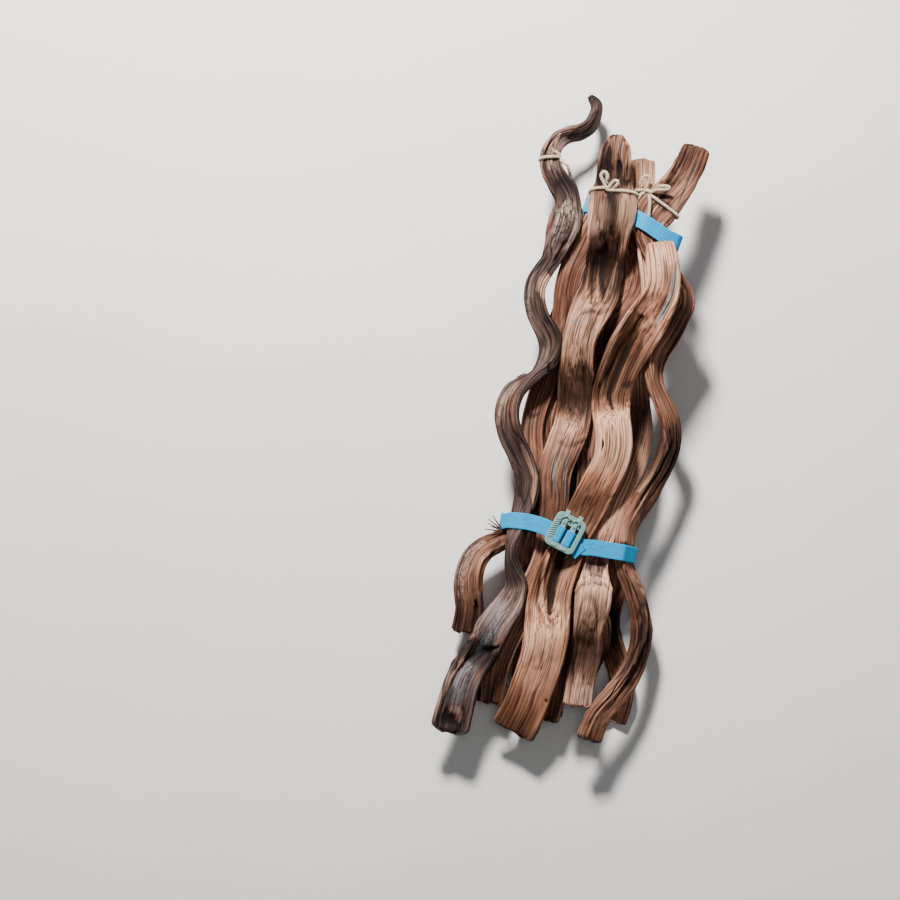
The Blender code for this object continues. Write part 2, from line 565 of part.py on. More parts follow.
def band_pieces(band, pile):
    """The rings of a band round everything in the pile, and the place of its buckle."""
    turn = math.radians(band.turn)
    along = np.array([math.cos(turn), math.sin(turn), 0.0])
    wide = np.array([-along[1], along[0], 0.0])
    up = np.array([0.0, 0.0, 1.0])
    origin = np.array([*band.centre, 0.0])
    local = (pile.samples - origin) @ np.array([along, up, wide]).T
    middle = np.median(local[abs(local[:, 2]) < BAND_WIDTH][:, 1])
    front = np.interp(local[:, 0], *zip(*band.drift))
    behind = np.interp(local[:, 0], *zip(*band.back))
    offset = np.where(local[:, 1] > middle, front, behind)
    section = local[abs(local[:, 2] - offset) < BAND_WIDTH / 2 + SECTION_MARGIN][:, :2]
    facing = math.radians(band.facing)
    out = np.array([math.cos(facing), math.sin(facing)])
    side = np.array([out[1], -out[0]])
    beneath = (abs(local[:, :2] @ side - band.slide) < BUCKLE_LENGTH / 2 + SECTION_MARGIN) & (
        abs(local[:, 2] - offset + BAND_OFF_CENTRE) < BUCKLE_WIDTH / 2 + PRONG[1])
    lowered = local[beneath][:, :2] - out * (BUCKLE_BASE - GAP)
    loop = Loop(hull(np.vstack([section, lowered])), facing, band.slide, BUCKLE_LENGTH / 2 + 1.5)
    skew = math.radians(band.skew)

    def drift(point):
        """How far along the bundle the band lies from its plane."""
        table = band.drift if point[1] > middle else band.back
        return float(np.interp(point[0], *zip(*table)))

    centre = loop.at(0.0, 0.0)
    shift = drift(centre)

    def over(distance):
        """The height of the band's own middle layer over the line it goes round."""
        reach = min(abs(distance), abs(loop.perimeter - distance))
        return TAIL_LAYER + (OVER_LAYER - TAIL_LAYER) * np.clip((TAIL_LENGTH + 9 - reach) / 8, 0, 1)

    # One half of the band at the buckle, from the tail's tip up over the bar, as (distance, height)
    bar_top = BUCKLE_BASE + BAR_LOW + BAR_THICK + 0.4 + BAND_THICK / 2
    fold = [(2.6, TAIL_LAYER), (1.5, 1.1), (1.3, 2.2), (1.3, 4.6), (1.5, bar_top - 0.9), (2.2, bar_top - 0.1),
            (3.4, bar_top), (5.3, bar_top), (7.4, bar_top), (8.7, bar_top - 0.3), (9.5, bar_top - 1.2),
            (9.9, 4.2), (10.4, 2.7), (11.4, OVER_LAYER + 0.1)]
    tail = [(d, TAIL_LAYER) for d in np.linspace(TAIL_LENGTH, 5.0, 6)]
    half = [*tail, *fold]
    side_on = np.array([0.0, 0.0, 1.0])
    route, aims, leans = [], [], []
    for d, height in [*half, *[(-d, height) for d, height in half]]:
        place = loop.at(d * math.cos(skew), height, 1.0 if abs(d) < 12 else 3.0)
        route.append((*place, shift + d * math.sin(skew)))
        way = loop.way(d * math.cos(skew), 1.0)
        aims.append(side_on * math.cos(skew) - np.array([*way, 0.0]) * math.sin(skew))
        leans.append(1.0)
    reach = 13.0 * math.cos(skew)
    for d in loop.stops(reach, loop.perimeter - reach, 9.0):
        place = loop.at(d, over(d))
        nearest = d if d < loop.perimeter / 2 else d - loop.perimeter
        free = np.clip((abs(nearest) - BUCKLE_LENGTH / 2 - 2.0) / 14.0, 0.0, 1.0)
        free = free * free * (3 - 2 * free)
        skewed = shift + nearest * math.tan(skew)
        route.append((*place, skewed + (drift(place) - skewed) * free))
        aims.append(side_on)
        leans.append(1.0 - free)
    count = len(half)
    order = [*range(count), *range(2 * count, len(route)), *range(2 * count - 1, count - 1, -1)]
    route, aims, leans = (np.array(values)[order] for values in (route, aims, leans))

    tangent = np.gradient(route, axis=0)
    tangent /= np.linalg.norm(tangent, axis=1)[:, None]
    width = aims - tangent * ((aims * tangent).sum(axis=1) * leans)[:, None]
    width /= np.linalg.norm(width, axis=1)[:, None]
    flat = np.cross(width, tangent)
    flat /= np.linalg.norm(flat, axis=1)[:, None]
    h, w = BAND_THICK / 2, BAND_WIDTH / 2
    rings = np.stack([route - flat * h - width * w, route - flat * h + width * w,
                      route + flat * h + width * w, route + flat * h - width * w], axis=1)
    rings = origin + rings @ np.array([along, up, wide])

    seat = loop.at(0.0, BUCKLE_BASE, 1.0)
    way = np.array([*loop.way(0.0, 1.0), 0.0])
    n = np.array([-way[1], way[0], 0.0])
    axes = np.array([way * math.cos(skew) + side_on * math.sin(skew),
                     side_on * math.cos(skew) - way * math.sin(skew), n])
    to_world = np.array([along, up, wide])
    place = (origin + np.array([*seat, shift]) @ to_world, axes @ to_world)
    return rings, place


def material(name, colour, roughness):
    made = bpy.data.materials.new(name)
    made.use_nodes = True
    shader = made.node_tree.nodes["Principled BSDF"]
    shader.inputs["Base Color"].default_value = (*colour, 1.0)
    shader.inputs["Roughness"].default_value = roughness
    return made


def add_object(name, points, faces, finish, angle=50):
    """Makes one sub-part from points in millimetres."""
    mesh = bpy.data.meshes.new(name)
    mesh.from_pydata((np.asarray(points) * MM).tolist(), [], faces)
    bm = bmesh.new()
    bm.from_mesh(mesh)
    bmesh.ops.recalc_face_normals(bm, faces=bm.faces)
    bm.to_mesh(mesh)
    bm.free()
    mesh.shade_smooth()
    mesh.set_sharp_from_angle(angle=math.radians(angle))
    mesh.materials.append(finish)
    made = bpy.data.objects.new(name, mesh)
    bpy.context.scene.collection.objects.link(made)
    return made


def block(low, high, corner=0.0, steps=4):
    """An upright block between two corners, with its upright edges rounded, as points and faces."""
    x0, y0, z0 = low
    x1, y1, z1 = high
    ring = []
    for cx, cy, first in ((x1, y1, 0), (x0, y1, 90), (x0, y0, 180), (x1, y0, 270)):
        if corner == 0:
            ring.append((cx, cy))
            continue
        mx = cx - math.copysign(corner, cx - (x0 + x1) / 2)
        my = cy - math.copysign(corner, cy - (y0 + y1) / 2)
        for k in range(steps + 1):
            a = math.radians(first + 90 * k / steps)
            ring.append((mx + corner * math.cos(a), my + corner * math.sin(a)))
    n = len(ring)
    points = [(x, y, z0) for x, y in ring] + [(x, y, z1) for x, y in ring]
    faces = [tuple(range(n))[::-1], tuple(range(n, 2 * n))]
    faces += [(k, (k + 1) % n, n + (k + 1) % n, n + k) for k in range(n)]
    return np.array(points), faces


def boolean(target, tool, operation):
    """Joins one object into another, or cuts it out, and removes it."""
    cut = target.modifiers.new(operation, "BOOLEAN")
    cut.operation = operation
    cut.solver = "EXACT"
    cut.object = tool
    bpy.context.view_layer.update()
    result = bpy.data.meshes.new_from_object(target.evaluated_get(bpy.context.evaluated_depsgraph_get()))
    target.modifiers.remove(cut)
    target.data = result
    bpy.data.objects.remove(tool, do_unlink=True)


def make_buckle(name, place, finish):
    """A moulded ladder buckle: a frame with two bars, which the band is looped over."""
    seat, axes = place
    centre = -BAND_OFF_CENTRE
    half_l, half_w = BUCKLE_LENGTH / 2, BUCKLE_WIDTH / 2
    def shaped(low, high, corner=0.0):
        points, faces = block(low, high, corner)
        points[:, 1] += centre
        return add_object(name, seat + points @ axes, faces, finish, 35)

    frame = shaped((-half_l, -half_w, 0.0), (half_l, half_w, BUCKLE_THICK), BUCKLE_CORNER)
    inner_l, inner_w = half_l - BUCKLE_SIDE, half_w - BUCKLE_RAIL
    window = shaped((-inner_l, -inner_w, -1.0), (inner_l, inner_w, BUCKLE_THICK + 1.0), WINDOW_CORNER)
    boolean(frame, window, "DIFFERENCE")
    long, out, thick = PRONG
    for side in (-1, 1):
        x = side * BAR_CENTRE
        low = (x - BAR_WIDTH / 2, -half_w + 1, BAR_LOW)
        high = (x + BAR_WIDTH / 2, half_w - 1, BAR_LOW + BAR_THICK)
        boolean(frame, shaped(low, high), "UNION")
        x = side * PRONG_CENTRE
        low = (x - long / 2, half_w - 1.5, PRONG_LOW)
        high = (x + long / 2, half_w + out, PRONG_LOW + thick)
        boolean(frame, shaped(low, high), "UNION")
    frame.name = name
    return frame


def clear_scene():
    for old in list(bpy.data.objects):
        bpy.data.objects.remove(old, do_unlink=True)


def laid_bundle():
    """Every stem, twine and band in the order they are laid, and the place of each buckle."""
    pile = Pile()
    seats = {}
    for vine in back_vines():
        lay(vine, pile)
    lay(INNER, pile)
    lay(ELBOW, pile)
    lay(SHORT, pile, [MIDDLE_TIE])
    lay(SNAKE, pile, [RIGHT_TIE])
    rings, seats["buckle_upper"] = band_pieces(UPPER_BAND, pile)
    pile.add(UPPER_BAND.name, rings, BAND_DISH)
    lay(LADDER, pile, [HOOK_TIE])
    lay(CURL, pile, [CURL_TIE])
    lay(BROAD, pile)
    rings, seats["buckle_lower"] = band_pieces(LOWER_BAND, pile)
    pile.add(LOWER_BAND.name, rings, BAND_DISH)
    return pile.pieces, seats


def set_down(pieces):
    """Wears the lowest spots flat and puts the origin under the middle of the bundle."""
    points = np.array([v.co for piece in pieces for v in piece.data.vertices])
    low, high = points.min(axis=0), points.max(axis=0)
    floor = low[2] + FLAT_SPOT * MM
    middle = Vector(((low[0] + high[0]) / 2, (low[1] + high[1]) / 2, floor))
    for piece in pieces:
        for v in piece.data.vertices:
            v.co.z = max(v.co.z, floor)
            v.co -= middle


def main():
    clear_scene()
    pieces, seats = laid_bundle()
    colours = {vine.name: vine.colour for vine in (INNER, ELBOW, SHORT, SNAKE, LADDER, CURL, BROAD)}
    made = []
    for name, (points, faces) in pieces.items():
        colour, roughness = colours.get(name, BARK), 0.65
        if name.startswith("band"):
            colour, roughness = BAND_BLUE, 0.5
        if name.startswith("twine"):
            colour, roughness = JUTE, 0.9
        made.append(add_object(name, points, faces, material(name, colour, roughness)))
    for name, place in seats.items():
        made.append(make_buckle(name, place, material(name, BUCKLE_GREEN, 0.4)))
    set_down(made)


main()
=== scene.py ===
"""The looks of a strapped bundle of dried vine stems: bark, woven bands, buckles and twine.

Every piece is rebuilt finely on the shape of its CAD node. Sizes are in millimetres until a mesh is
made, except those of the camera and the lamps, which are in metres. X runs across the bundle, Y from
the cut ends to the tips, Z up.
"""

import math
from dataclasses import dataclass
from itertools import combinations

import bmesh
import bpy
import numpy as np
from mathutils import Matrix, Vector
from mathutils.bvhtree import BVHTree


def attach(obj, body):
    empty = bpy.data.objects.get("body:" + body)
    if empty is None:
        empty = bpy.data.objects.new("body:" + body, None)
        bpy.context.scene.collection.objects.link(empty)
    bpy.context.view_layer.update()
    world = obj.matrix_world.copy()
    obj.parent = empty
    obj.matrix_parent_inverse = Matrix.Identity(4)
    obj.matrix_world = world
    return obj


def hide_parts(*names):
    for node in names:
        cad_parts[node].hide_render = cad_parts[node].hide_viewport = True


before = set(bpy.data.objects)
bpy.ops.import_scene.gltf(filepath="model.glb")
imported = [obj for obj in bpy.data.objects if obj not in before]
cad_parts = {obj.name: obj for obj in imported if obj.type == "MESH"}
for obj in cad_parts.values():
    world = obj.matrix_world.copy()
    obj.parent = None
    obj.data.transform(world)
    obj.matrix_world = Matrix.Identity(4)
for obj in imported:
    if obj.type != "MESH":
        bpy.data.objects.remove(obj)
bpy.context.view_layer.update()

MM = 0.001
FRONT_STEMS = ("vine_curl", "vine_broad", "vine_ladder", "vine_short", "vine_snake", "vine_elbow")
BACK_STEMS = ("vine_inner", "vine_back_1", "vine_back_2", "vine_back_3", "vine_back_4", "vine_back_5")

# How finely a stem is drawn: rows between two CAD rings, points round it, rows over a cut end
FRONT_DETAIL = (8, 96)
BACK_DETAIL = (7, 64)
CAP_ROWS = (0.985, 0.95, 0.88, 0.78, 0.65, 0.5, 0.34, 0.17)

# A cut end: how ragged and how clumped it is, how far its middle dips, and the width that has all of this
CAP_RAGGED, CAP_CLUMPS, CAP_DIP, CAP_WIDTH = 0.75, 1.6, 1.5, 20.0

# How near another piece the bark may come, how far such a piece shades it, and how far one is looked for
BARK_GAP, SHADE_REACH, ROOM_REACH = 0.3, 4.5, 6.0

# A crest is what stands over the average of this reach along its stem, and counts in full at this height
# Crests are painted lighter and the troughs between them painted darker
CREST_REACH, CREST_HEIGHT = 55.0, 14.0

# The bands, and the step between the rows that they are drawn with
BAND_WIDTH, BAND_THICK, BAND_STEP = 16.0, 0.8, 1.3

# A buckle in its own frame: X along the band, Y up the bundle, Z out of its base
BUCKLE_LENGTH, BUCKLE_WIDTH, BUCKLE_THICK = 32.0, 36.0, 4.5
FRAME_CORNER, WINDOW_CORNER, EDGE_ROUNDING = 6.0, 2.0, 0.42
FRAME_LEFT, FRAME_RIGHT, FRAME_FOOT, FRAME_TOP = 6.6, 4.6, 5.6, 4.4
BAR_X, PRONG_X = 5.3, 7.0
WEB_Y, WEB_RADIUS, WEB_WIDTH, WEB_LOW, WEB_HIGH = 12.2, 3.3, 1.4, 2.6, BUCKLE_THICK + 0.9
RIB_COUNT, RIB_STEP, RIB_TURN = 9, 2.35, 0.45

# The boxes in it, each by its middle and its sizes: a plate, a rib, and those on each of its two sides
PLATE = ((1.0, 10.9, 1.3), (21.4, 5.4, 2.0))
FIRST_RIB = ((3.2 - BUCKLE_LENGTH / 2, -9.5, BUCKLE_THICK + 0.2), (5.0, 1.0, 1.2))
SIDE_BOXES = {
    "bar": ((BAR_X, 0.0, 1.85), (5.4, BUCKLE_WIDTH - 3.0, 2.9)),
    "seat of the web": ((BAR_X, 10.2, 3.3), (4.4, 5.0, 1.6)),
    "foot of the bar": ((BAR_X, -15.6, BUCKLE_THICK), (5.6, 2.8, 1.6)),
    "prong": ((PRONG_X, BUCKLE_WIDTH / 2 + 0.9, 1.9), (4.6, 5.4, 2.2)),
    "root of the prong": ((PRONG_X, BUCKLE_WIDTH / 2 - 1.6, BUCKLE_THICK), (3.0, 2.0, 1.0)),
}
SQUARE = ((-1, -1), (1, -1), (1, 1), (-1, 1))

# The twine: the length of a turn of its lay, the radius of a ply, its fine steps, its hairs, those at an end
TWINE_LAY, PLY, TWINE_STEP, FUZZ, FRAY = 7.5, 0.95, 0.7, 240, 16

# The loose end of the lower band: the middle of its cut, and its directions lengthwise and across
TAIL_END, TAIL_WAY, TAIL_ACROSS = (7.0, -144.6, 69.6), (0.66, -0.73, -0.12), (-0.74, -0.67, 0.0)
TAIL_LENGTH, TAIL_WIDTH = 10.0, 14.8

# Torn fibres that stand off the elbow by the lower band: their root, their bend and their tip
SPLINTERS = (
    ((-67, -121, 34), (-76, -116, 38), (-84, -112, 36)),
    ((-68, -121, 35), (-78, -119, 37), (-88, -118, 40)),
    ((-67, -119, 35), (-74, -112, 40), (-79, -104, 41)),
    ((-69, -122, 35), (-79, -123, 39), (-86, -127, 41)),
    ((-68, -121, 36), (-75, -114, 35), (-84, -107, 32)),
    ((-68, -122, 36), (-74, -118, 42), (-81, -116, 47)),
)

# The camera looks down on the bundle from above its foot end
CAMERA_TARGET = (-0.1216, -0.0398, 0.0524)
CAMERA_HEIGHT_ANGLE = 84.0
CAMERA_DISTANCE = 2.25
CAMERA_LENS = 90.0

# Each lamp's place, size, power in watts and colour, the point that they face, and the light all round
LAMPS = {
    "key": ((-0.40, 1.40, 1.35), 0.30, 124.0, (1.0, 0.98, 0.96)),
    "front": ((0.1, -0.2, 2.3), 0.9, 6.0, (1.0, 1.0, 1.0)),
}
LAMP_TARGET = (-0.02, 0.0, 0.05)
SKY_COLOUR, SKY_STRENGTH = (0.9, 0.95, 1.0, 1.0), 0.12
FLOOR_REACH = 4000

# Bark, from dark to light: brown, grey and warm, then blue-grey stains, cut wood and the crust's plates
BROWN = ((0.15, (0.030, 0.013, 0.008)), (0.38, (0.13, 0.060, 0.040)),
         (0.58, (0.30, 0.160, 0.118)), (0.85, (0.62, 0.37, 0.28)))
GREY = ((0.15, (0.028, 0.020, 0.018)), (0.38, (0.10, 0.072, 0.065)),
        (0.60, (0.24, 0.185, 0.170)), (0.85, (0.50, 0.42, 0.39)))
WARM = ((0.15, (0.042, 0.014, 0.007)), (0.38, (0.19, 0.075, 0.044)),
        (0.58, (0.42, 0.195, 0.120)), (0.85, (0.70, 0.41, 0.29)))
BLUE_GREY = ((0.3, (0.08, 0.092, 0.10)), (0.7, (0.31, 0.335, 0.36)))
CUT_WOOD = ((0.32, (0.06, 0.030, 0.018)), (0.5, (0.36, 0.21, 0.13)), (0.68, (0.66, 0.47, 0.34)))
CRUST_PLATES = ((0.35, (0.13, 0.098, 0.080)), (0.65, (0.40, 0.34, 0.28)))
# The crust's cracks, and pale wood that also paints highlights on rims, ridges and bright faces
CRUST_CRACK, PALE_WOOD_AND_HIGHLIGHT = (0.050, 0.033, 0.026), (0.74, 0.46, 0.34)
# Dust, and the dark of stains that also paints shade in hollows, grooves, splits and beside other pieces
DUST, STAIN_AND_SHADE = (0.60, 0.48, 0.40), (0.010, 0.005, 0.004)

# The bands with the painted shade in the gaps of their weave and the edges of it, the buckles with their
# scratches and worn edges, the rest
BLUE = ((0.3, (0.0, 0.27, 0.56)), (0.7, (0.0, 0.40, 0.78)))
BLUE_GAP_SHADE, BLUE_EDGE = (0.0, 0.10, 0.22), (0.0, 0.36, 0.62)
GREEN = ((0.3, (0.060, 0.165, 0.155)), (0.7, (0.11, 0.25, 0.235)))
GREEN_SCRATCH, GREEN_EDGE = (0.28, 0.42, 0.39), (0.34, 0.52, 0.48)
JUTE_TINTS = ((0.3, (0.34, 0.26, 0.18)), (0.55, (0.58, 0.47, 0.34)), (0.75, (0.74, 0.64, 0.50)))
FLOOR_TINTS = ((0.3, (0.78, 0.77, 0.75)), (0.7, (0.82, 0.81, 0.79)))


@dataclass
class Look:
    """How one stem's bark looks: the seed of its random grain, how warm, grey and light it is, how strong
    its relief and its rims are, how many strands go round it, and how far its ends are rounded."""

    seed: int
    warm: float
    grey: float
    light: float
    relief: float
    rim: float
    strands: int
    round_tip: float = 3.0
    round_foot: float = 2.0


@dataclass
class Mark:
    """A feature on the upper face of a stem, along a line seen from above.

    It reaches so far to each side at the start of its line, and as far as end says at its end, if that
    is another reach. It rises by lift. The rest says how far its colour turns."""

    what: str
    line: tuple
    reach: float
    lift: float
    dark: float = 0.0
    pale: float = 0.0
    grey: float = 0.0
    warm: float = 0.0
    crust: float = 0.0
    end: float = 0.0


# The ways in which a mark can turn the colour: dark also paints shade and pale also paints highlights
TONES = ("dark", "pale", "grey", "warm", "crust")

LOOKS = {
    "vine_curl": Look(3, 0.02, 0.88, 0.36, 0.6, 1.2, 14, round_tip=12.0, round_foot=7.0),
    "vine_broad": Look(7, 0.85, 0.10, 0.66, 0.42, 1.0, 16),
    "vine_ladder": Look(11, 0.40, 0.30, 0.56, 0.55, 1.0, 16, round_tip=18.0),
    "vine_short": Look(17, 0.50, 0.20, 0.76, 0.45, 0.8, 12),
    "vine_snake": Look(23, 0.35, 0.20, 0.48, 1.2, 0.9, 6, round_tip=4.0),
    "vine_elbow": Look(29, 0.35, 0.35, 0.45, 0.6, 1.2, 12),
    "vine_inner": Look(31, 0.25, 0.40, 0.42, 1.0, 0.8, 12),
    "vine_back_1": Look(37, 0.30, 0.30, 0.42, 1.0, 0.8, 12),
    "vine_back_2": Look(41, 0.20, 0.45, 0.40, 1.0, 0.8, 12),
    "vine_back_3": Look(43, 0.35, 0.25, 0.42, 1.0, 0.8, 12),
    "vine_back_4": Look(47, 0.25, 0.40, 0.40, 1.0, 0.8, 12),
    "vine_back_5": Look(53, 0.30, 0.30, 0.42, 1.0, 0.8, 12),
}
